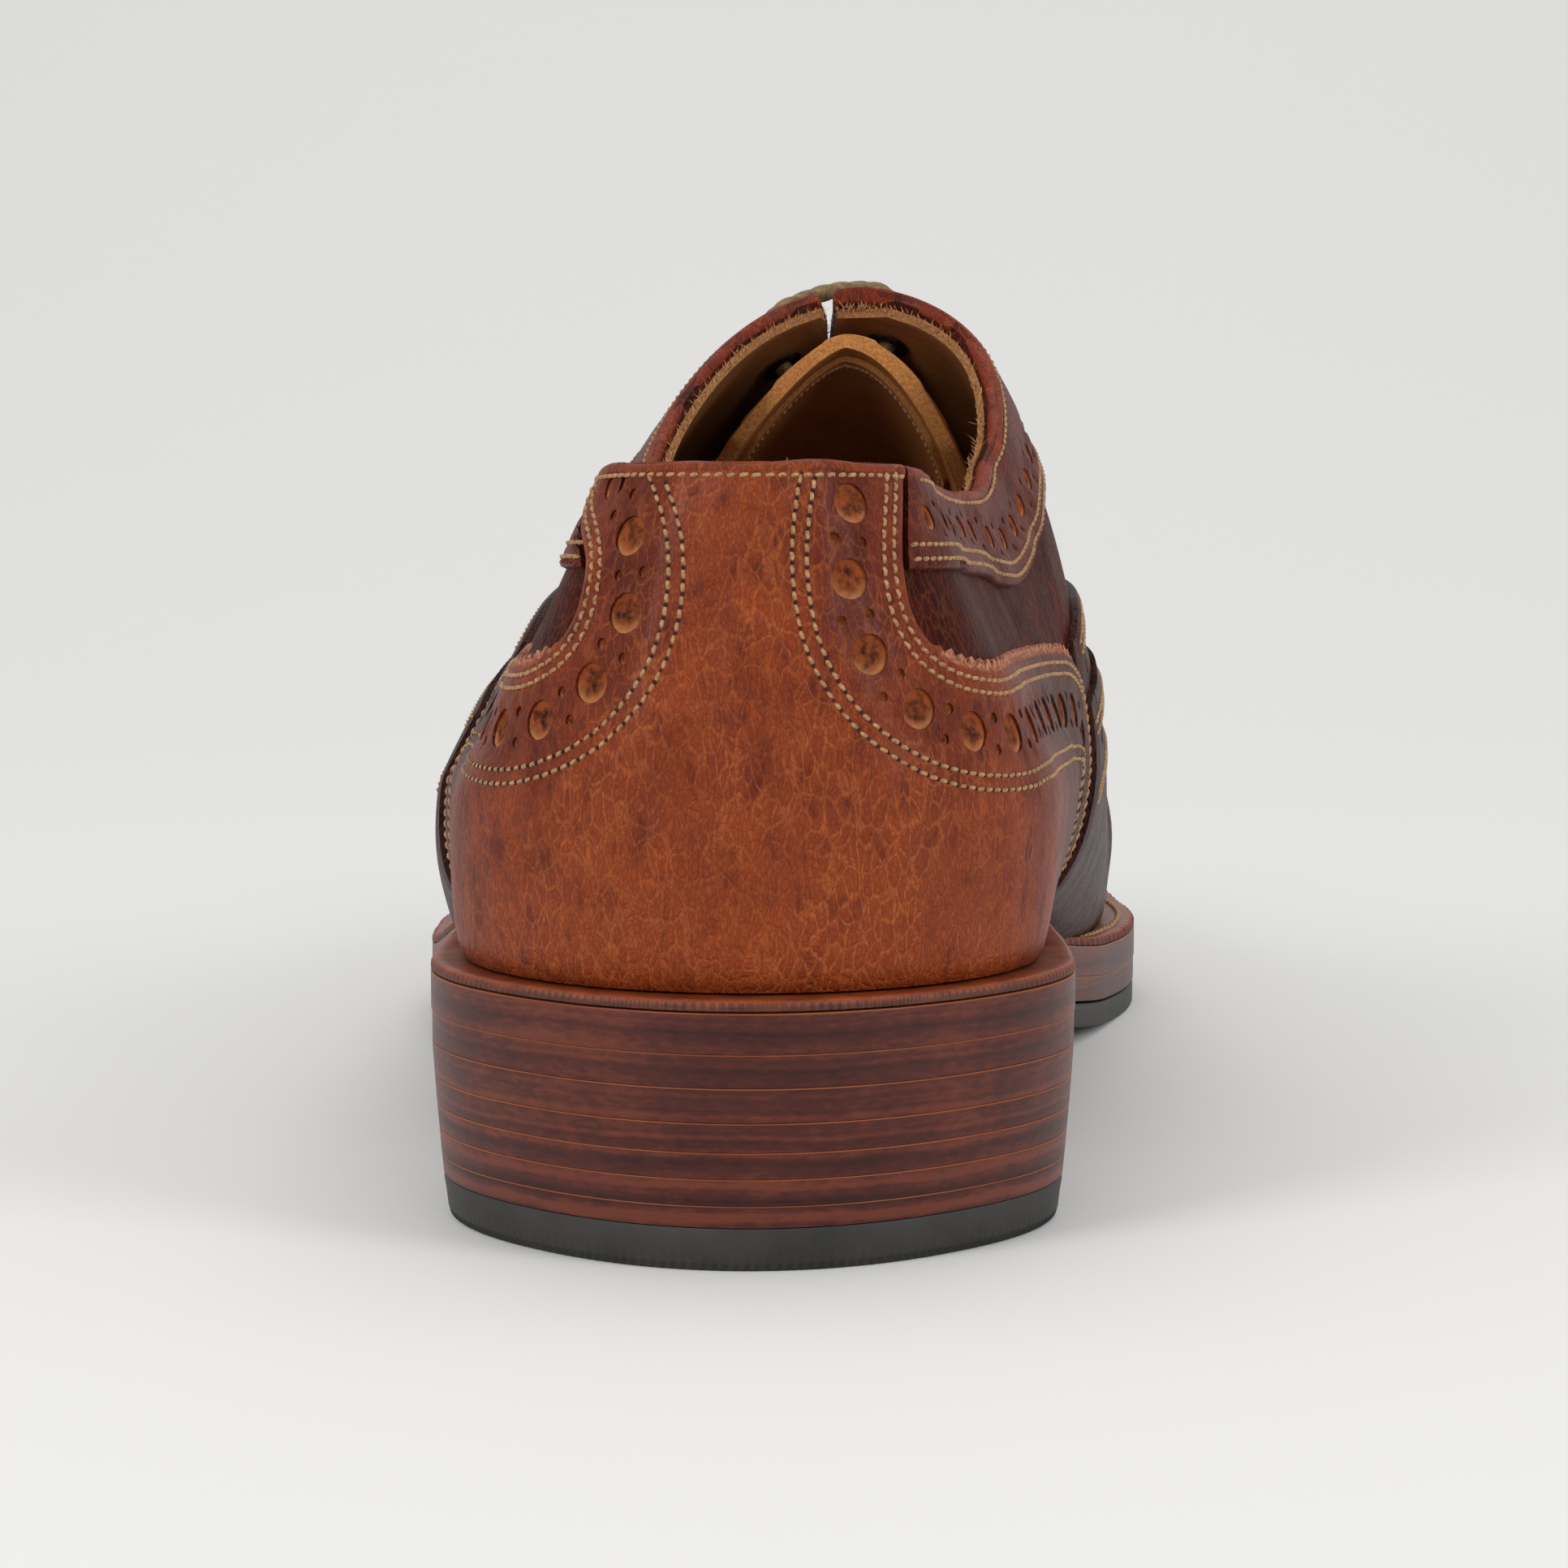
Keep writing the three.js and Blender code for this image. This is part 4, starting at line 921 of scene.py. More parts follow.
thread = Finish("thread")
thread_twist = thread.grain(2.2, 3)
thread_tone = thread.ramp(thread_twist, (0.3, linear("7E5832")), (0.7, linear("C09468")))
thread.set(Base_Color=thread_tone, Roughness=0.6)
hole_floor = Finish("hole_floor")
floor_tone = hole_floor.grain(0.8, 4, 0.65)
floor_painted_light_share = hole_floor.value("rim")
floor_smudge = (floor_tone - hole_floor.value("middle") * 0.2).clip()
floor_base = hole_floor.ramp(floor_smudge, (0.2, linear("2A1009")), (0.5, linear("8A4420")))
# The pale colour mixed in here is a painted highlight on the lower rim of each hole's floor.
floor_painted_light = (floor_painted_light_share * floor_painted_light_share * (0.45 + floor_tone)).clip()
hole_floor.set(
    Base_Color=hole_floor.mix(floor_painted_light, floor_base, linear("C88A5C")),
    Roughness=0.75,
    Specular_IOR_Level=0.1,
    Normal=hole_floor.bump(floor_tone, 0.0002, 0.6),
)

strap_edge = [
    [0.232, 0.8], [0.232, 0.68], [0.235, 0.56], [0.246, 0.515], [0.268, 0.48], [0.302, 0.455], [0.35, 0.438],
]
counter_top = [[0.1, 0.436], [0.17, 0.428], [0.24, 0.42], [0.278, 0.404], [0.3, 0.362], [0.307, 0.3]]
overlay_low, overlay_high = 0.05, 1.3
strap_view = np.array([[heel_width * out, seat_height + cone_height * up] for out, up in strap_edge])


def counter_edge(side):
    """The counter's upper edge on one side, from the collar to its front corner and down to the welt."""
    mirror = np.array([side, 1])
    low, high = sorted((0.0, side * heel_turn))
    strap = locate(round_foot, seeds_on(low, high), (0, 2), strap_view * mirror)
    low, high = sorted((side * 10.0, side * (heel_turn + 80)))
    top = locate(round_foot, seeds_on(low, high, 0.9), (1, 2), side_view(counter_top))
    foot = foot_line(top[-1, 0], top[-1, 0], 1)
    line = curve(np.concatenate([strap, top, (top[-1:] + foot) / 2, foot]), 16)
    above = line[:, 1] > rim_at(line[:, 0])
    start = int(np.argmin(above))
    line = line[start:]
    line[0, 1] = rim_at(line[0, 0])
    return line


counter_sides = {side: counter_edge(side) for side in (1, -1)}
edge_rows, hole_row, inner_rows = (1.6, 3.1), 7.7, (12.5, 14.1)
counter_leather = leather("counter_leather", "8E3C16", "64210B", "300D06", vein=0.62)


def top_band(low, high, step=0.9, inset=0.0):
    """Spots along the collar's edge."""
    sweeps = np.arange(low, high, 0.25 if high > low else -0.25)
    line = np.stack([sweeps, rim_at(sweeps) - inset], 1)
    return even(round_foot, line, step)


right, left = counter_sides[1], counter_sides[-1]
pitch, depth = 2.1, 1.1


def pinked(points):
    """1 on the level part of the counter's edge and 0 on its strap and front edge."""
    low = np.clip((seat_height + 0.475 * cone_height - points[:, 2]) / 1.5, 0, 1)
    return low * np.clip((0.288 * sole_length - points[:, 1]) / 1.5, 0, 1)


teeth = {
    side: gimped(round_foot, even(round_foot, line, 0.8)[::-side], pitch, depth, pinked)
    for side, line in counter_sides.items()
}
bottom_edge = foot_line(left[-1, 0], right[-1, 0], 240)
top_edge = top_band(right[0, 0], left[0, 0])
counter_outline = np.concatenate([bottom_edge[1:-1], teeth[1], top_edge[1:-1], teeth[-1]])


def band_line(line, side, distance):
    """A line inside the counter at a true distance from its edge."""
    return beside(round_foot, even(round_foot, line, 1.0), -side * distance)


def trimmed(line, outline_top=0.8):
    """The part of a line that stays clear of the collar's edge and of the welt."""
    keep = line[:, 1] < rim_at(line[:, 0]) - outline_top
    z = surface(round_foot, line)
    keep &= z[:, 2] - feather_height(z[:, 1]) > 3
    return line[keep]


counter_lines, counter_stitches, counter_needles, counter_large, counter_small = [], [], [], [], []
for side, line in counter_sides.items():
    for distance in (*edge_rows, *inner_rows):
        row = trimmed(band_line(line, side, distance))
        sunk = 0.1 if distance in inner_rows else 0.04
        counter_stitches.append(stitches(round_foot, row, overlay_high - sunk))
        if distance in inner_rows:
            counter_needles.append(needle_holes(round_foot, row, overlay_high - 0.02))
    for first, second in (edge_rows, inner_rows):
        middle = (first + second) / 2
        distances = (first - 0.8, first, middle, second, second + 0.8)
        for distance, dip in zip(distances, (0.0, 0.14, 0.0, 0.14, 0.0)):
            counter_lines.append((trimmed(band_line(line, side, distance), 1.4), dip))
    large, small = brogueing(round_foot, trimmed(band_line(line, side, hole_row), 0.2), 8.8, 4.6, 1.3)
    counter_large += large
    counter_small += small
counter_points, counter_faces, counter_flat = panel(
    round_foot, counter_outline, overlay_high, overlay_low, counter_large + counter_small, counter_lines
)
cut_edges = np.concatenate([teeth[1], teeth[-1]])
cut_edges = cut_edges[pinked(surface(round_foot, cut_edges)) > 0.5]
cut_distance = nearest(counter_flat, cut_edges)
counter_raw = np.clip(1 - cut_distance / 0.6, 0, 1)
top_share = counter_flat[:, 1] / rim_at(counter_flat[:, 0])
# Painted shade: the counter darkens towards its sides, away from the middle of the heel where the light
# falls. The terms below darken it along the hole band and up the strap edges, and lighten it just above the
# welt.
counter_burnish_and_shade = 0.1 + 0.6 * np.clip((np.abs(counter_flat[:, 0] - 4) - 30) / 55, 0, 1)
band_spots = np.concatenate([band_line(line, side, hole_row)[::3] for side, line in counter_sides.items()])
band_gap = nearest(counter_flat, band_spots)
counter_burnish_and_shade += 0.22 * np.exp(-((band_gap / 5.5) ** 2))
counter_burnish_and_shade -= 0.12 * np.exp(-(((counter_flat[:, 1] - 6) / 6) ** 2))
high_up = np.clip((top_share - 0.5) / 0.3, 0, 1)
counter_burnish_and_shade += 0.25 * np.exp(-((np.abs(counter_flat[:, 0]) - 17) ** 2) / 60) * high_up
piece("counter_panel", counter_points, counter_faces, counter_leather, "counter_leather", ["counter"],
      {"burnish": np.tile(counter_burnish_and_shade, 2), "raw": np.concatenate([counter_raw, counter_raw])})
rim_row = top_band(left[0, 0] + 1, right[0, 0] - 1, 0.9, 1.6)
counter_stitches.append(stitches(round_foot, rim_row, overlay_high - stitch_sink))
piece("counter_stitches", *merged(counter_stitches), thread, "counter_leather")
# Painted shade: a near-black finish for the beads that stand in for the needle holes.
needle_hole_shade = Finish("needle_hole_shade")
needle_hole_shade.set(Base_Color=linear("2C120A"), Roughness=0.9)
piece("counter_needle_holes", *merged(counter_needles), needle_hole_shade, "counter_leather")
hole_floors(
    "counter_hole_floors", round_foot, counter_large + counter_small, 0.5, overlay_low, "counter_leather"
)


# Facings: the collar bands of the same leather, which widen over the instep into the two eyelet facings. They
# are cut plain, stitched twice along the lower edge and once round the collar, and punched between the rows.
facing_edge = [
    [0.03, 0.575], [0.1, 0.565], [0.17, 0.548], [0.235, 0.525], [0.28, 0.57], [0.325, 0.65], [0.37, 0.7],
    [0.41, 0.695], [0.45, 0.64], [0.49, 0.575], [0.53, 0.51], [0.57, 0.44], [0.6, 0.38],
]
vamp_edge = [[0.29, 0.385], [0.315, 0.43], [0.35, 0.475], [0.41, 0.503], [0.48, 0.514], [0.55, 0.512]]
facing_high = 1.15


def unrolled(spots):
    """Spots of the quarters' chart as spots of the vamp's."""
    side, far = np.where(spots[:, 0] < 0, -1, 1), np.abs(spots[:, 0])
    down = girth_at(spots[:, 0]) - spots[:, 1]
    angle = math.pi / 2 * np.maximum(far - heel_turn - straight, 0) / toe_turn
    y = np.minimum(heel_axis + far - heel_turn, toe_axis) + down * np.sin(angle)
    return np.stack([side * down * np.cos(angle), y], 1)


def rolled(spots, side):
    """Spots of the vamp's chart, behind the toe, as spots of one side of the quarters' chart."""
    sweep = side * (heel_turn + spots[:, 1] - heel_axis)
    return np.stack([sweep, girth_at(sweep) - side * spots[:, 0]], 1)


def meet(a, b):
    """Line a up to where it first crosses line b, and line b from there on."""
    p, r = a[:-1, None], np.diff(a, axis=0)[:, None]
    q, s = b[None, :-1], np.diff(b, axis=0)[None]
    size = r[..., 0] * s[..., 1] - r[..., 1] * s[..., 0]
    size = np.where(np.abs(size) < 1e-12, 1e-12, size)
    t = ((q - p)[..., 0] * s[..., 1] - (q - p)[..., 1] * s[..., 0]) / size
    u = ((q - p)[..., 0] * r[..., 1] - (q - p)[..., 1] * r[..., 0]) / size
    i, j = np.argwhere((t >= 0) & (t <= 1) & (u >= 0) & (u <= 1))[0]
    spot = a[i] + t[i, j] * (a[i + 1] - a[i])
    return np.concatenate([a[: i + 1], spot[None]]), np.concatenate([spot[None], b[j + 1 :]])


def straight_seeds(side, low, high=250.0):
    ends = sorted((side * (heel_turn + low - heel_axis), side * (heel_turn + high - heel_axis)))
    return seeds_on(max(ends[0], -half_loop), min(ends[1], half_loop))


def on_vamp(table, side):
    seeds = unrolled(straight_seeds(side, 60.0))
    return locate(over_toe, seeds, (1, 2), side_view(table))


throat_spot = np.array([[gap_at(throat) - middle_at(throat) - lean_at(throat), throat + 0.6]])
vamp_side = {side: on_vamp(vamp_edge, side) for side in (1, -1)}
vamp_line = curve(np.concatenate([vamp_side[-1], throat_spot, vamp_side[1][::-1]]), 16)
facing_leather = leather("facing_leather", "8A3216", "5E1C0D", "33100A", vein=0.5)
facing_stitches, facing_holes = [], []
for side, name in ((1, "facing_inner"), (-1, "facing_outer")):
    low, high = sorted((side * 4.0, side * (heel_turn + 165)))
    lower = curve(locate(round_foot, seeds_on(low, high), (1, 2), side_view(facing_edge)), 14)
    strap_side = beside(round_foot, even(round_foot, counter_sides[side], 1.0), side * 1.15)[:60]
    rim_line = softened(top_band(strap_side[0, 0], side * (heel_turn + throat + 4 - heel_axis), 0.6), 5)
    front = rolled(vamp_line, side)
    front = beside(round_foot, even(round_foot, front[::-side], 1.0), side * 0.15)
    strap_up, lower_on = meet(strap_side, lower)
    lower_part, front_part = meet(lower_on, front)
    front_part, rim_back = meet(front_part, rim_line[::-1])
    outline = np.concatenate([
        even(round_foot, lower_part, 0.9)[:-1],
        even(round_foot, front_part, 0.9)[:-1],
        even(round_foot, rim_back[:-1], 0.9)[:-1],
        even(round_foot, strap_up, 0.9)[:-1],
    ])
    rows = [trimmed(beside(round_foot, even(round_foot, lower_part, 1.0), side * d), 1.2) for d in (1.0, 2.7)]
    dips = []
    for row in rows:
        facing_stitches.append(stitches(round_foot, row[1:-2], facing_high - stitch_sink))
    rim_inside = beside(round_foot, even(round_foot, rim_back, 1.0), side * 1.6)[2:-2]
    facing_stitches.append(stitches(round_foot, rim_inside, facing_high - stitch_sink))
    hole_line = beside(round_foot, even(round_foot, lower_part, 1.0), side * 6.0)[3:-8]
    large, small = brogueing(round_foot, hole_line, 7.6, 3.0, 1.0)
    facing_holes += large + small
    for distance, dip in ((0.35, 0.0), (1.0, 0.12), (1.85, 0.0), (2.7, 0.12), (3.4, 0.0)):
        dips.append((beside(round_foot, even(round_foot, lower_part, 1.0), side * distance)[2:-3], dip))
    points, faces, flat = panel(round_foot, outline, facing_high, overlay_low, large + small, dips)
    piece(name + "_panel", points, faces, facing_leather, "facing_leather", [name],
          {"burnish": np.full(len(points), 0.55)})
piece("facing_stitches", *merged(facing_stitches), thread, "facing_leather")
hole_floors("facing_hole_floors", round_foot, facing_holes, 0.5, overlay_low, "facing_leather")


# Vamp: one piece of leather over the front of the quarters. Its upper edge runs from the counter's front
# corners to the throat, with two rows of stitches and a row of holes.
counter_front = {side: counter_sides[side][-1, 0] + side * 0.35 for side in (1, -1)}
vamp_high, cap_high, cap_low = 1.3, 2.4, 1.35
vamp_leather = leather("vamp_leather", "64200D", "42140A", "260B07", 1.5, 0.1, vein=0.35)


def within(chart, row, outline, edge, distance):
    """The parts of a row that lie inside a panel and keep their distance from its edge line."""
    gap = nearest(surface(chart, row), surface(chart, edge))
    good = inside(row, outline) & (gap > 0.93 * distance - 0.1)
    parts = np.split(np.arange(len(row)), np.where(np.diff(good.astype(int)) != 0)[0] + 1)
    return [row[part] for part in parts if good[part[0]] and len(part) > 3]


def toe_foot(count=420):
    """Spots along the foot of the upper round the toe, from one front edge of the counter to the other."""
    inner = foot_line(counter_front[1], half_loop, count // 2)
    outer = foot_line(-half_loop, counter_front[-1], count // 2)
    return unrolled(np.concatenate([inner, outer[1:]]))


def rear_edge(side, top):
    """Spots up the rear edge of a front panel, from its foot to a height over the leather."""
    sweep = counter_front[side]
    foot = foot_line(sweep, sweep, 1)[0, 1]
    ups = np.arange(foot, top, 0.9)
    return unrolled(np.stack([np.full(len(ups), sweep), ups], 1))


def front_outline(edge, cut=None):
    """The outline of a front panel under an edge that runs from the outer side over the instep."""
    inner_rear = rear_edge(1, girth_at(counter_front[1]))[::-1]
    outer_rear = rear_edge(-1, girth_at(counter_front[-1]))
    outer_up, from_outer = meet(outer_rear, edge)
    on_edge, inner_down = meet(from_outer, inner_rear)
    edge_on = even(over_toe, on_edge, 0.8) if cut is None else cut(on_edge)
    return np.concatenate([toe_foot()[:-1], outer_up[:-1], edge_on[:-1], inner_down[:-1]]), on_edge


vamp_outline, vamp_on = front_outline(vamp_line)
vamp_even = even(over_toe, vamp_on, 1.0)
vamp_rows = [
    part for d in (1.3, 2.9)
    for part in within(over_toe, beside(over_toe, vamp_even, d)[2:-2], vamp_outline, vamp_even, d)
]
vamp_large, vamp_small = brogueing(over_toe, beside(over_toe, vamp_even, 6.2)[3:-3], 8.0, 3.4, 1.0)
vamp_dips = [(beside(over_toe, vamp_even, d)[2:-2], dip)
             for d, dip in ((0.45, 0.0), (1.3, 0.12), (2.1, 0.0), (2.9, 0.12), (3.7, 0.0))]
vamp_points, vamp_faces, _ = panel(
    over_toe, vamp_outline, vamp_high, overlay_low, vamp_large + vamp_small, vamp_dips, 2.0
)
piece("vamp_panel", vamp_points, vamp_faces, vamp_leather, "vamp_leather", ["vamp"],
      {"burnish": np.full(len(vamp_points), 0.7)})
vamp_stitches = merged([stitches(over_toe, row, vamp_high - stitch_sink) for row in vamp_rows])
piece("vamp_stitches", *vamp_stitches, thread, "vamp_leather")
hole_floors("vamp_hole_floors", over_toe, vamp_large + vamp_small, 0.55, overlay_low, "vamp_leather")


# Wing cap: the outermost panel, over the toe and back along both sides to the counter. Its pinked edge rises
# to a peak on the middle of the toe, with double rows of stitches on each side of the holes.
wing_edge = [
    [0.29, 0.29], [0.34, 0.34], [0.4, 0.37], [0.46, 0.375], [0.52, 0.35], [0.58, 0.3], [0.64, 0.232],
    [0.7, 0.17],
]
wing_peak = [[0.34, 0.785], [0.3, 0.81], [0.24, 0.83], [0.17, 0.823], [0.11, 0.8], [0.05, 0.768]]
peak_x = middle_at(toe_axis) + lean_at(toe_axis)


def wing_side(side):
    along = on_vamp(wing_edge, side)
    seeds = unrolled(straight_seeds(side, 190.0, 330.0))
    seeds = seeds[np.hypot(seeds[:, 0], np.maximum(seeds[:, 1] - toe_axis, 0)) < 48]
    views = [[peak_x + side * ball_width * out, sole_length * at] for out, at in wing_peak]
    return np.concatenate([along, locate(over_toe, seeds, (0, 1), views)])


wing_line = curve(np.concatenate([wing_side(-1), [[0, sole_length * 0.752]], wing_side(1)[::-1]]), 16)
cap_outline, cap_on = front_outline(
    wing_line, lambda line: gimped(over_toe, even(over_toe, line, 0.8), 2.3, 0.9)
)
cap_edge = even(over_toe, cap_on, 0.8)
cap_leather = leather("cap_leather", "64200D", "3E1209", "220A06", vein=0.3)
cap_rows = [
    part for d in (2.0, 3.6, 11.5, 13.1)
    for part in within(over_toe, beside(over_toe, cap_edge, d), cap_outline, cap_edge, d)
]
cap_large, cap_small = brogueing(over_toe, beside(over_toe, cap_edge, 7.6)[4:-4], 8.8, 4.1, 1.1)
cap_points, cap_faces, _ = panel(over_toe, cap_outline, cap_high, cap_low, cap_large + cap_small, (), 2.0)
piece("cap_panel", cap_points, cap_faces, cap_leather, "cap_leather", ["wing_cap"],
      {"burnish": np.full(len(cap_points), 0.75)})
cap_stitches = merged([stitches(over_toe, row, cap_high - stitch_sink) for row in cap_rows])
piece("cap_stitches", *cap_stitches, thread, "cap_leather")
hole_floors("cap_hole_floors", over_toe, cap_large + cap_small, 1.75, cap_low, "cap_leather")


# Collar edge: the band's leather is turned in over the rim as a soft roll. Inside it the lining is left raw,
# and loose fibres stand up from its cut edge.
roll_count = 16
roll_turns = circle(roll_count)


def along_rim(step):
    end = heel_turn + throat - 1.0 - heel_axis
    return top_band(-end, end, step)


def roll_section(line, height, half_height, inset, half_tall):
    """Rings of a flat tube that follows the collar's edge."""
    spots = line[:, None] - np.stack([np.zeros(roll_count), inset - half_tall * np.sin(roll_turns)], 1)[None]
    levels = np.broadcast_to(height + half_height * np.cos(roll_turns), spots.shape[:2])
    return surface(round_foot, spots, levels)


def tube_faces(rings, sides):
    caps = [list(range(sides))[::-1], list(range((rings - 1) * sides, rings * sides))]
    return [*band(rings, sides, closed=True).tolist(), *caps]


rim_spots = along_rim(0.7)
rim_run = np.arange(len(rim_spots)) * 0.7
rim_spots[:, 1] += 0.16 * np.sin(rim_run / 2.3) + 0.12 * np.sin(rim_run / 5.1 + 2)
on_counter = (rim_spots[:, 0] > left[0, 0]) & (rim_spots[:, 0] < right[0, 0])
for name, part, finish, slot, high in (
    ("collar_roll_back", np.where(on_counter)[0], counter_leather, "counter_leather", 1.35),
    ("collar_roll_outer", np.where(rim_spots[:, 0] <= left[0, 0])[0], facing_leather, "facing_leather", 1.2),
    ("collar_roll_inner", np.where(rim_spots[:, 0] >= right[0, 0])[0], facing_leather, "facing_leather", 1.2),
):
    points = roll_section(rim_spots[part], (high - 0.9) / 2, (high + 0.9) / 2, 0.75, 0.95).reshape(-1, 3)
    piece(name, points, [f[::-1] for f in tube_faces(len(part), roll_count)], finish, slot,
          values={"burnish": np.full(len(points), 0.2), "raw": np.zeros(len(points))})

rng = np.random.default_rng(7)
fibre_spots = along_rim(0.09)
fibre_spots = fibre_spots[rng.random(len(fibre_spots)) < 0.8]
fibre_count = len(fibre_spots)
fibre_spots -= np.stack([rng.normal(0, 0.2, fibre_count), rng.uniform(-0.2, 1.2, fibre_count)], 1)
fibre_heights = rng.uniform(-2.1, -1.2, fibre_count)
fibre_base = surface(round_foot, fibre_spots, fibre_heights)
fibre_lean = np.column_stack([rng.normal(0, 0.45, (fibre_count, 2)), rng.uniform(0.3, 1.1, fibre_count)])
fibre_tip = fibre_base + fibre_lean
fibre_thick = 0.09
corners = np.array([[1, 0, 0], [-0.5, 0.87, 0], [-0.5, -0.87, 0]]) * fibre_thick
fibre_middle = (fibre_base + fibre_tip) / 2 + rng.normal(0, 0.12, fibre_base.shape)
fibre_points = np.concatenate(
    [fibre_base[:, None] + corners, fibre_middle[:, None] + corners * 0.7, fibre_tip[:, None]], 1
)
fibre_shape = [(2, 1, 0), (0, 1, 4, 3), (1, 2, 5, 4), (2, 0, 3, 5), (3, 4, 6), (4, 5, 6), (5, 3, 6)]
fibre_faces = [[v + 7 * i for v in f] for i in range(fibre_count) for f in fibre_shape]
fibre_finish = Finish("raw_fibres")
fibre_finish.set(Base_Color=linear("BC8858"), Roughness=0.8)
piece("lining_fibres", fibre_points.reshape(-1, 3), fibre_faces, fibre_finish, "lining_leather")


# Tongue: one thickness of suede-backed leather behind the laces, with raw edges, and a thinner lining
# stitched to its inner face a little inside them.
tongue_top, tongue_end, tongue_hollow, tongue_half, tongue_taper = 104.0, 200.0, 7.0, 35.0, 0.3
tongue_high, tongue_low = -7.4, -9.8


def tongue_ring(inset, step):
    """The tongue's outline, drawn in by an inset."""
    half = tongue_half - inset
    across = np.linspace(-1, 1, 40)
    shares = np.linspace(0, 1, 60)
    high = tongue_top + inset + tongue_hollow * across**2
    back = np.stack([half * across, high], 1)
    back[:, 1] += 3.0 * np.maximum(np.abs(across) - 0.86, 0) / 0.14
    sides_y = high[-1] + 3.0 + (tongue_end - inset - high[-1] - 3.0) * shares
    inner = np.stack([half - tongue_taper * tongue_half * shares, sides_y], 1)
    outer = inner[::-1] * [-1, 1]
    return even(over_toe, np.concatenate([back, inner[1:], outer[:-1]]), step, closed=True)


tongue_leather = Finish("tongue_leather")
tongue_raw = tongue_leather.value("raw")
tongue_mottle = tongue_leather.noise(tongue_leather.place, 90, 4, 0.6)
tongue_nap = tongue_leather.grain(2.6, 4, 0.7)
tongue_smooth = tongue_leather.ramp(tongue_mottle, (0.3, linear("96582E")), (0.7, linear("AC7040")))
tongue_suede = tongue_leather.ramp(tongue_nap, (0.3, linear("9A5A26")), (0.7, linear("E09A52")))
tongue_leather.set(
    Base_Color=tongue_leather.mix(tongue_raw, tongue_smooth, tongue_suede),
    Roughness=0.5 + tongue_raw * 0.4,
    Normal=tongue_leather.bump(tongue_nap, 0.00025, 0.6),
)
_, tongue_faces, tongue_flat = panel(over_toe, tongue_ring(0, 0.8), tongue_high, tongue_low, (), (), 2.0)


def tongue_at(spots, height):
    """Points of the tongue, which lies flatter over the middle of the instep than the leather outside."""
    reach = np.linspace(-8, 8, 9)
    share = np.hanning(11)[1:-1] / np.hanning(11).sum()
    low = height - 0.8 * np.exp(-((spots[:, 0] / 10.0) ** 2))
    return sum(s * surface(over_toe, spots + np.array([d, 0.0]), low) for s, d in zip(share, reach))


tongue_edge = nearest(tongue_flat, tongue_ring(0, 0.8))
tongue_worn = 0.5 * np.clip(1 - tongue_edge / 0.7, 0, 1)
tongue_points = np.concatenate(
    [tongue_at(tongue_flat, tongue_high - tongue_worn), tongue_at(tongue_flat, tongue_low)]
)
piece("tongue_panel", tongue_points, tongue_faces, tongue_leather, "tongue_leather", ["tongue"],
      {"raw": np.tile(np.clip(1.6 - tongue_edge / 1.2, 0, 1), 2)})
_, inner_faces, inner_flat = panel(over_toe, tongue_ring(3.6, 0.9), tongue_low, tongue_low - 1, (), (), 2.0)
inner_points = np.concatenate(
    [tongue_at(inner_flat, tongue_low - 0.05), tongue_at(inner_flat, tongue_low - 0.75)]
)
inner_edge = nearest(inner_flat, tongue_ring(3.6, 0.9))
piece("tongue_lining", inner_points, inner_faces, tongue_leather, "tongue_leather",
      values={"raw": np.tile(np.clip(1.0 - inner_edge / 0.5, 0, 0.8), 2)})
tongue_row = tongue_ring(5.2, 0.8)
row_points, row_faces = stitches(over_toe, tongue_row, tongue_low - 0.75, face=-1)
row_spots = even(over_toe, tongue_row, 1.45)
row_spots = (row_spots[1:] + row_spots[:-1]) / 2
row_shift = tongue_at(row_spots, tongue_low - 0.75) - surface(over_toe, row_spots, tongue_low - 0.75)
row_points += np.repeat(row_shift, len(row_points) // len(row_shift), 0)
piece("tongue_stitches", row_points, row_faces, thread, "tongue_leather")


# Eyelets: black painted brass rings on the lining's side only, clenched round the lace holes.
eyelet_inset, eyelet_first, eyelet_pitch, eyelet_count = 9.3, 122.0, 13.0, 5


def ridge_shift(y):
    return middle_at(y) + lean_at(y) - gap_at(y)


def eyelet_frame(pair, side):
    """Where an eyelet's axis meets the leather, and which way it faces."""
    y = eyelet_first + eyelet_pitch * pair
    spot = np.array([[side * eyelet_inset - ridge_shift(y), y]])
    at = surface(over_toe, spot, 0.0)[0]
    du, dv = (d[0] for d in slopes_of(over_toe, spot, 0.0))
    out = np.cross(du, dv)
    out /= np.linalg.norm(out)
    along = np.array([0, 1, 0]) - out[1] * out
    along /= np.linalg.norm(along)
    return at, along, np.cross(out, along), out


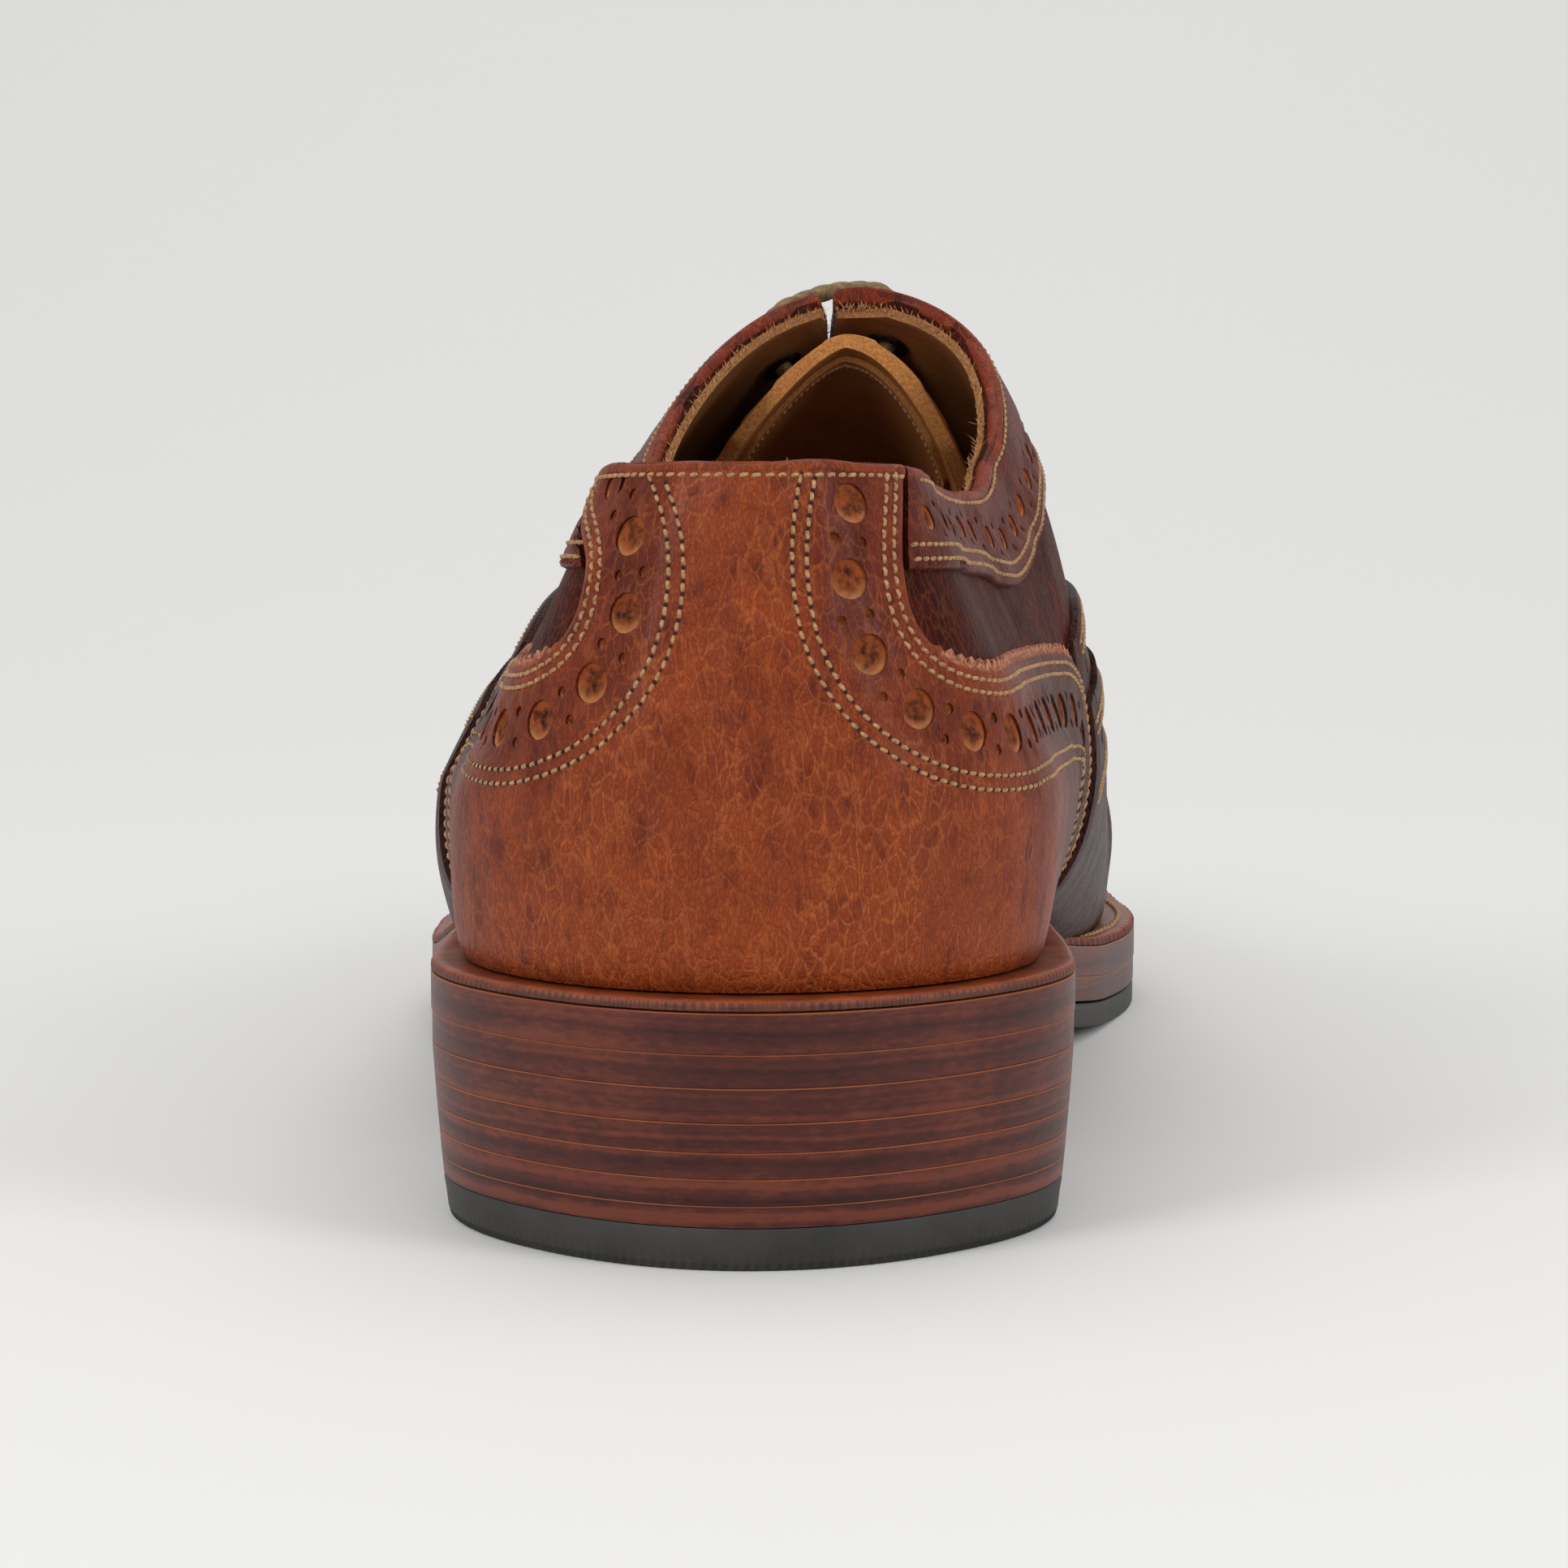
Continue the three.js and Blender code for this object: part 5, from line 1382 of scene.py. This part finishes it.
eyelet_metal = Finish("eyelet_metal")
eyelet_wear = eyelet_metal.grain(1.2, 3)
eyelet_metal.set(
    Base_Color=eyelet_metal.ramp(eyelet_wear, (0.4, linear("15120F")), (0.75, linear("3A3228"))),
    Metallic=0.6, Roughness=0.35,
)
ring_profile = [
    (1.7, -2.75), (1.7, -3.1), (2.0, -3.2), (2.4, -3.18), (2.8, -3.0), (3.0, -2.72), (2.9, -2.7), (2.2, -2.7),
]
ring_turns = circle(40)
for side, name in ((1, "inner"), (-1, "outer")):
    for pair in range(eyelet_count):
        at, along, across, out = eyelet_frame(pair, side)
        points = [
            at + out * h + r * (math.cos(a) * along + math.sin(a) * across)
            for r, h in ring_profile for a in ring_turns
        ]
        rounds = len(ring_profile)
        faces = band(rounds, len(ring_turns), closed=True).tolist()
        last_ring = (rounds - 1) * len(ring_turns)
        count = len(ring_turns)
        faces += [(last_ring + i, last_ring + (i + 1) % count, (i + 1) % count, i) for i in range(count)]
        piece(f"eyelet_{name}_ring_{pair + 1}", points, faces, eyelet_metal, "eyelet_metal",
              [f"eyelet_{name}_{pair + 1}"])


# Lace: waxed round cord, plaited, in straight bars over the gap. It goes down through each eyelet and along
# under the facings, and ends at the top pair.
lace_radius, lace_sides = 1.2, 20
under_height, over_height = -4.7, 3.0


def smooth_path(knots, step):
    """Even points on a centripetal curve through knots."""
    knots = np.asarray(knots)
    padded = np.concatenate([[2 * knots[0] - knots[1]], knots, [2 * knots[-1] - knots[-2]]])
    found = []
    for i in range(len(knots) - 1):
        p = padded[i : i + 4]
        t = np.concatenate([[0], (np.linalg.norm(np.diff(p, axis=0), axis=1) ** 0.5).cumsum()])
        u = np.linspace(t[1], t[2], 24, endpoint=False)[:, None]
        for reach in (1, 2):
            p = [
                ((t[k + reach] - u) * p[k] + (u - t[k]) * p[k + 1]) / (t[k + reach] - t[k])
                for k in range(4 - reach)
            ]
        found.append(((t[2] - u) * p[0] + (u - t[1]) * p[1]) / (t[2] - t[1]))
    path = np.concatenate([*found, knots[-1:]])
    run = run_of(path)
    places = np.linspace(0, run[-1], max(4, round(run[-1] / step)))
    return resampled(places, run, path), places


def cord(knots):
    """A plaited cord through knots."""
    path, places = smooth_path(knots, 0.3)
    along = np.gradient(path, axis=0)
    along /= np.linalg.norm(along, axis=1)[:, None]
    side = np.cross(along[0], [0.3, 1.0, 0.2])
    frames = []
    for direction in along:
        side = side - direction * (side @ direction)
        side /= np.linalg.norm(side)
        frames.append((side, np.cross(direction, side)))
    frames = np.array(frames)
    turns = circle(lace_sides)
    twist = 2 * math.pi * places[:, None] / 2.6
    plait = np.maximum(np.cos(4 * turns[None] + twist), np.cos(4 * turns[None] - twist))
    radius = lace_radius * (0.9 + 0.1 * plait)
    points = path[:, None] + radius[..., None] * (
        np.cos(turns)[None, :, None] * frames[:, None, 0] + np.sin(turns)[None, :, None] * frames[:, None, 1]
    )
    return points.reshape(-1, 3), tube_faces(len(path), lace_sides)


def lace_bar(pair):
    y = eyelet_first + eyelet_pitch * pair
    lift = 1.3 if pair == 0 else 0.0
    knots = []
    ends = {side: eyelet_frame(pair, side) for side in (-1, 1)}
    at, _, _, out = ends[-1]
    knots += [at + out * h for h in (under_height, 0.0, 2.4)]
    for share in (-0.7, -0.35, 0, 0.35, 0.7):
        spot = np.array([[share * eyelet_inset - ridge_shift(y), y]])
        knots.append(surface(over_toe, spot, over_height)[0] + [0, -lift, lift])
    at, _, _, out = ends[1]
    knots += [at + out * h for h in (2.4, 0.0, under_height)]
    return cord(knots)


def lace_run(side):
    knots = []
    for pair in range(eyelet_count):
        at, _, _, out = eyelet_frame(pair, side)
        knots.append(at + out * under_height)
    return cord(knots)


lace_cord = Finish("lace_cord")
lace_tone = lace_cord.grain(1.6, 3)
lace_cord.set(
    Base_Color=lace_cord.ramp(lace_tone, (0.3, linear("54401F")), (0.7, linear("8C6E40"))),
    Roughness=0.6, Sheen_Weight=0.2,
    Normal=lace_cord.bump(lace_cord.grain(5.0, 2), 0.00012, 0.6),
)
lace_parts = [lace_bar(pair) for pair in range(eyelet_count)] + [lace_run(side) for side in (-1, 1)]
piece("lace_cord", *merged(lace_parts), lace_cord, "lace_cord", ["lace"])


# Insole: a smooth leather board that closes the shoe's inside, with the edge of the upper turned under it.
ring_size = 720
ring_places = ((np.arange(ring_size) + 0.5) / ring_size * 2 - 1) * half_loop


def level_ring(reach, height_of, places=None):
    """A ring round the foot at a reach from the middle, with its height set along the foot."""
    places = ring_places if places is None else places
    x, start, dx, dy = planes(places)
    y = start + dy * reach
    return np.column_stack([x + dx * reach, y, height_of(y)])


def rounded(thickness, soft):
    """The profile of a plate's edge from its underside to its top: inset and height."""
    turns = [0, math.pi / 6, math.pi / 3, math.pi / 2]
    low = [(soft * (1 - math.sin(a)), soft * (1 - math.cos(a))) for a in turns]
    high = [(inset, thickness - up) for inset, up in low[::-1]]
    return [(soft + 1.0, 0.0), *low, (0.0, thickness - 2 * soft), *high, (soft + 1.0, thickness)]


def stacked(rings, centre=None):
    """A closed plate from rings, the lowest first, with strips across or a fan from the centre as caps."""
    count = len(rings[0])
    points = np.concatenate(rings)
    faces = band(len(rings), count, closed=True).tolist()
    top = (len(rings) - 1) * count
    if centre is None:
        i = np.arange(count // 2 - 1)
        strip = np.stack([i, i + 1, count - 2 - i, count - 1 - i], 1)
        faces += strip[:, ::-1].tolist() + (strip + top).tolist()
    else:
        points = np.concatenate([points, [[*centre, rings[0][0, 2]], [*centre, rings[-1][0, 2]]]])
        low_end, high_end = len(points) - 2, len(points) - 1
        faces += [((i + 1) % count, i, low_end) for i in range(count)]
        faces += [(top + i, top + (i + 1) % count, high_end) for i in range(count)]
    return points, faces


def level_of(rings, levels, extra=0):
    return np.concatenate([np.repeat(levels, len(rings[0])), np.full(extra, levels[0])])


def insole_reach(places):
    """Reach of the inside of the lining just above the feather edge."""
    inner = surface(round_foot, np.stack([places, np.full(len(places), 2.2)], 1), -2.4)
    x, start, dx, dy = planes(places)
    return (inner[:, 0] - x) * dx + (inner[:, 1] - start) * dy


insole_profile = rounded(2.9, 0.5)
insole_edge = insole_reach(ring_places)
insole_rings = [
    level_ring(insole_edge - inset, lambda y, up=up: feather_height(y) + 0.35 + up)
    for inset, up in insole_profile
]
piece("insole_board", *stacked(insole_rings), lining_leather, "lining_leather", ["insole"],
      {"raw": np.zeros(ring_size * len(insole_rings))})


# Welt: a strip of waxed leather sewn round the foot of the upper. Its lip is left lighter, and a wheel has
# marked its edge: finely round the heel, and deeply between the lockstitches of the forefoot.
welt_size = 5600
welt_places = ((np.arange(welt_size) + 0.5) / welt_size * 2 - 1) * half_loop
welt_reach = sole_reach(welt_places)
welt_outer = level_ring(welt_reach, feather_height, welt_places)
welt_run = run_of(welt_outer)
forepart = np.clip((welt_outer[:, 1] - 92) / 8, 0, 1)
wheel = 0.5 - 0.5 * np.cos(2 * math.pi * welt_run / 1.05)
rope = (0.5 - 0.5 * np.cos(2 * math.pi * welt_run / 3.1)) ** 0.7
waver = 0.04 * np.sin(welt_run / 3.7) + 0.03 * np.sin(welt_run / 1.9 + 1)
marks = (1 - forepart) * 0.13 * wheel + forepart * 0.42 * rope + waver


def upper_at(places, rise, height):
    """Reach of the upper at a rise above the midsole."""
    ups = np.linspace(0, 8, 24)
    grid = surface(round_foot, np.stack(np.broadcast_arrays(places[:, None], ups[None]), -1), height)
    over = grid[..., 2] - feather_height(grid[..., 1])
    k = np.clip((over < rise).sum(1), 1, len(ups) - 1)
    row = np.arange(len(places))
    share = np.clip((rise - over[row, k - 1]) / (over[row, k] - over[row, k - 1]), 0, 1)
    found = grid[row, k - 1] + share[:, None] * (grid[row, k] - grid[row, k - 1])
    x, start, dx, dy = planes(places)
    return (found[:, 0] - x) * dx + (found[:, 1] - start) * dy


coarse = np.linspace(-half_loop, half_loop, 700)
wall_foot = np.interp(welt_places, coarse, upper_at(coarse, 0.3, 0.25))
wall_lip = np.interp(welt_places, coarse, upper_at(coarse, 1.7, 0.25))
# inset, height, share of the wheel's marks, and how light the lip is
welt_profile = [
    (0.5, 0.32, 0.0, 0), (0.0, 0.55, 0.6, 0), (0.0, 0.95, 1.0, 0.15), (0.05, 1.3, 1.0, 0.5),
    (0.25, 1.6, 0.7, 1), (0.7, 1.72, 0.2, 1), (1.6, 1.7, 0.0, 0.8),
]
welt_rings, welt_lip = [], []
for inset, up, marked, lip in welt_profile:
    cut = marked * marks
    ring = level_ring(welt_reach - inset - cut, lambda y, up=up: feather_height(y) + up, welt_places)
    ring[:, 2] -= cut * forepart * 0.6
    welt_rings.append(ring)
    welt_lip.append(lip)
wall_lip = np.minimum(wall_lip, welt_reach - 2.2)
welt_rings.append(level_ring(wall_lip, lambda y: feather_height(y) + 1.66, welt_places))
welt_rings.append(level_ring(wall_foot, lambda y: feather_height(y) + 0.35, welt_places))
welt_lip += [0.35, 0.0]
welt_points = np.concatenate(welt_rings)
welt_faces = band(len(welt_rings), welt_size, closed=True).tolist()
closing = (len(welt_rings) - 1) * welt_size
welt_faces += [(closing + i, closing + (i + 1) % welt_size, (i + 1) % welt_size, i) for i in range(welt_size)]
welt_leather = Finish("welt_leather")
welt_lit = welt_leather.value("lip")
welt_mottle = welt_leather.noise(welt_leather.stretched(0.3, 0.3, 1), 0.9, 4, 0.6)
welt_dark = welt_leather.ramp(welt_mottle, (0.3, linear("35160F")), (0.7, linear("5A2A1A")))
welt_light = welt_leather.ramp(welt_mottle, (0.3, linear("6E2A10")), (0.7, linear("96481F")))
welt_leather.set(
    Base_Color=welt_leather.mix(welt_lit, welt_dark, welt_light),
    Roughness=0.45,
    Specular_IOR_Level=0.3,
    Coat_Weight=0.12,
    Coat_Roughness=0.3,
    Normal=welt_leather.bump(welt_mottle, 0.0001, 0.5),
)
piece("welt_strip", welt_points, welt_faces, welt_leather, "welt_leather", ["welt"],
      {"lip": np.repeat(welt_lip, welt_size)})
fore = np.where(welt_outer[:, 1] > 94)[0]
lock_step = 3.1
lock_parts = []
for part in (fore[fore < welt_size // 2], fore[fore >= welt_size // 2]):
    seam = level_ring(welt_reach - 2.6, lambda y: feather_height(y) + 1.78, welt_places)[part]
    run = run_of(seam)
    places = np.arange(lock_step, run[-1] - lock_step, lock_step)
    centre = resampled(places, run, seam)
    ahead = resampled(places + 0.5, run, seam) - centre
    ahead /= np.linalg.norm(ahead, axis=1)[:, None]
    left_of = np.cross([0, 0, 1], ahead)
    left_of /= np.linalg.norm(left_of, axis=1)[:, None]
    frames = [ahead, left_of, np.cross(ahead, left_of)]
    lock_parts.append(sewn(centre, frames, 2.7, 0.45, 0.4, 1.6, 8))
piece("welt_stitches", *merged(lock_parts), thread, "welt_leather")


# Midsole and leather sole: two plates of oak-bark leather under the welt, trimmed flush with it, stained dark
# and polished with wax at the edge.
edge_leather = Finish("edge_leather")
edge_level = edge_leather.value("level")
edge_seam = edge_leather.value("seam")
edge_waver = edge_leather.noise(edge_leather.place, 40, 3)
edge_layers = edge_leather.node(
    "ShaderNodeTexNoise", {"noise_dimensions": "1D"},
    {"W": edge_level * 0.5 + edge_waver * 1.2, "Scale": 1.0, "Detail": 2.0, "Roughness": 0.5}, output="Fac",
)
edge_patch = edge_leather.noise(edge_leather.place, 55, 4, 0.6)
edge_fleck = edge_leather.noise(edge_leather.stretched(0.35, 0.35, 1), 1.6, 3, 0.6)
edge_tone = (edge_layers * 0.45 + edge_patch * 0.35 + edge_fleck * 0.25).clip()
edge_base = edge_leather.ramp(
    edge_tone, (0.36, linear("301410")), (0.5, linear("4C2018")), (0.62, linear("6A3222"))
)
edge_line = (edge_seam * (edge_waver * 2.2 - 0.35)).clip()
edge_leather.set(
    Base_Color=edge_leather.mix(edge_line, edge_base, linear("96502A")),
    Roughness=0.36 + edge_patch * 0.14,
    Normal=edge_leather.bump(edge_fleck, 0.00008, 0.5),
    Specular_IOR_Level=0.22,
    Coat_Weight=0.1,
    Coat_Roughness=0.25,
)


def sole_plate(name, low, high, inset, stands_for, finish, slot, soft=0.1):
    profile = rounded(high - low, soft)
    reach = sole_reach(ring_places) - inset
    rings = [level_ring(reach - cut, lambda y, up=up: underside_at(y) + low + up) for cut, up in profile]
    levels = [low + up for _, up in profile]
    seams = [1.0 if up >= high - low - 1.3 * soft else 0.0 for _, up in profile]
    piece(name, *stacked(rings), finish, slot, [stands_for],
          {"level": level_of(rings, levels), "seam": level_of(rings, seams)})


sole_plate("midsole_plate", 7.75, 12.28, 0.0, "midsole", edge_leather, "edge_leather")
sole_plate("leather_sole_plate", 4.0, 7.73, 0.12, "leather_sole", edge_leather, "edge_leather")


# Rubber sole: a thin moulded rubber sheet under the forepart, cut square in front of the heel.
heel_breast, breast_hollow = 80.0, 3.0
sole_rubber = Finish("sole_rubber")
rubber_dust = sole_rubber.noise(sole_rubber.place, 70, 4, 0.6)
rubber_grain = sole_rubber.grain(2.4, 3)
sole_rubber.set(
    Base_Color=sole_rubber.ramp(rubber_dust, (0.35, linear("1F1E1C")), (0.7, linear("363431"))),
    Roughness=0.5 + rubber_dust * 0.15,
    Normal=sole_rubber.bump(rubber_grain, 0.0001, 0.4),
)
fore_sweep = heel_turn + heel_breast + 0.3 - heel_axis
fore_size = 420
fore_shares = (np.arange(fore_size) + 0.5) / fore_size * 2 - 1
fore_places = np.sign(fore_shares) * (fore_sweep + (half_loop - fore_sweep) * (1 - np.abs(fore_shares)))
fore_places = fore_places[::-1]
fore_reach = sole_reach(fore_places) - 0.2
rubber_profile = rounded(3.68, 0.5)
rubber_rings = [
    level_ring(fore_reach - cut, lambda y, up=up: underside_at(y) + up, fore_places)[::-1]
    for cut, up in rubber_profile
]
piece("rubber_sole_plate", *stacked(rubber_rings), sole_rubber, "sole_rubber", ["rubber_sole"])


# Heel: five lifts of sole leather, stacked, trimmed and polished together, over a rubber top piece nailed on
# last. The breast is hollowed a little.
lift_thick, heel_inset = [3.9, 3.3, 3.0, 3.0, 2.5], 0.25
lift_size = 640


def heel_ring(inset, z, notch=0.0):
    """The outline of a lift, from its breast round by the outer side, with small notches if any."""
    end = heel_turn + heel_breast - heel_axis
    places = np.linspace(-end, end, lift_size)
    x, start, dx, dy = planes(places)
    reach = sole_reach(places) - inset - notch * np.resize([0.0, 0.6, 1.0, 0.6], lift_size)
    sides = np.stack([x + dx * reach, start + dy * reach], 1)
    shares = np.linspace(1, -1, 60)[1:-1]
    middle = (sides[0, 0] + sides[-1, 0]) / 2
    half = (sides[-1, 0] - sides[0, 0]) / 2
    breast = np.stack([middle + half * shares, heel_breast - inset - breast_hollow * (1 - shares**2)], 1)
    ring = np.concatenate([sides, breast])
    return np.column_stack([ring, np.full(len(ring), z)])


heel_centre = (0.0, 40.0)
lift_top = heel_rise + 4.0
for i, thick in enumerate(lift_thick):
    profile = rounded(thick - 0.03, 0.09)
    inset = heel_inset * i + 0.1
    rings = [
        heel_ring(inset + cut + heel_inset * (1 - up / thick), lift_top - thick + up) for cut, up in profile
    ]
    levels = [20 + lift_top - thick + up for _, up in profile]
    seams = [1.0 if up >= thick - 0.14 else 0.0 for _, up in profile]
    piece(f"heel_lift_plate_{i + 1}", *stacked(rings, heel_centre), edge_leather, "edge_leather",
          [f"heel_lift_{i + 1}"], {"level": level_of(rings, levels, 2), "seam": level_of(rings, seams, 2)})
    lift_top -= thick
top_profile = [
    (2.2, 0.0, 0.0), (1.1, 0.0, 0.0), (0.75, 0.25, 0.45), (0.6, 0.7, 0.45), (0.5, 1.1, 0.0), (0.25, 3.2, 0.0),
    (0.05, 4.3, 0.0), (0.1, 4.9, 0.0), (1.2, 4.97, 0.0),
]
top_inset = heel_inset * len(lift_thick) + 0.1
top_rings = []
for cut, up, notch in top_profile:
    top_rings.append(heel_ring(top_inset + cut, up, notch))
piece("heel_top_rubber", *stacked(top_rings, heel_centre), sole_rubber, "sole_rubber", ["heel_top_piece"])
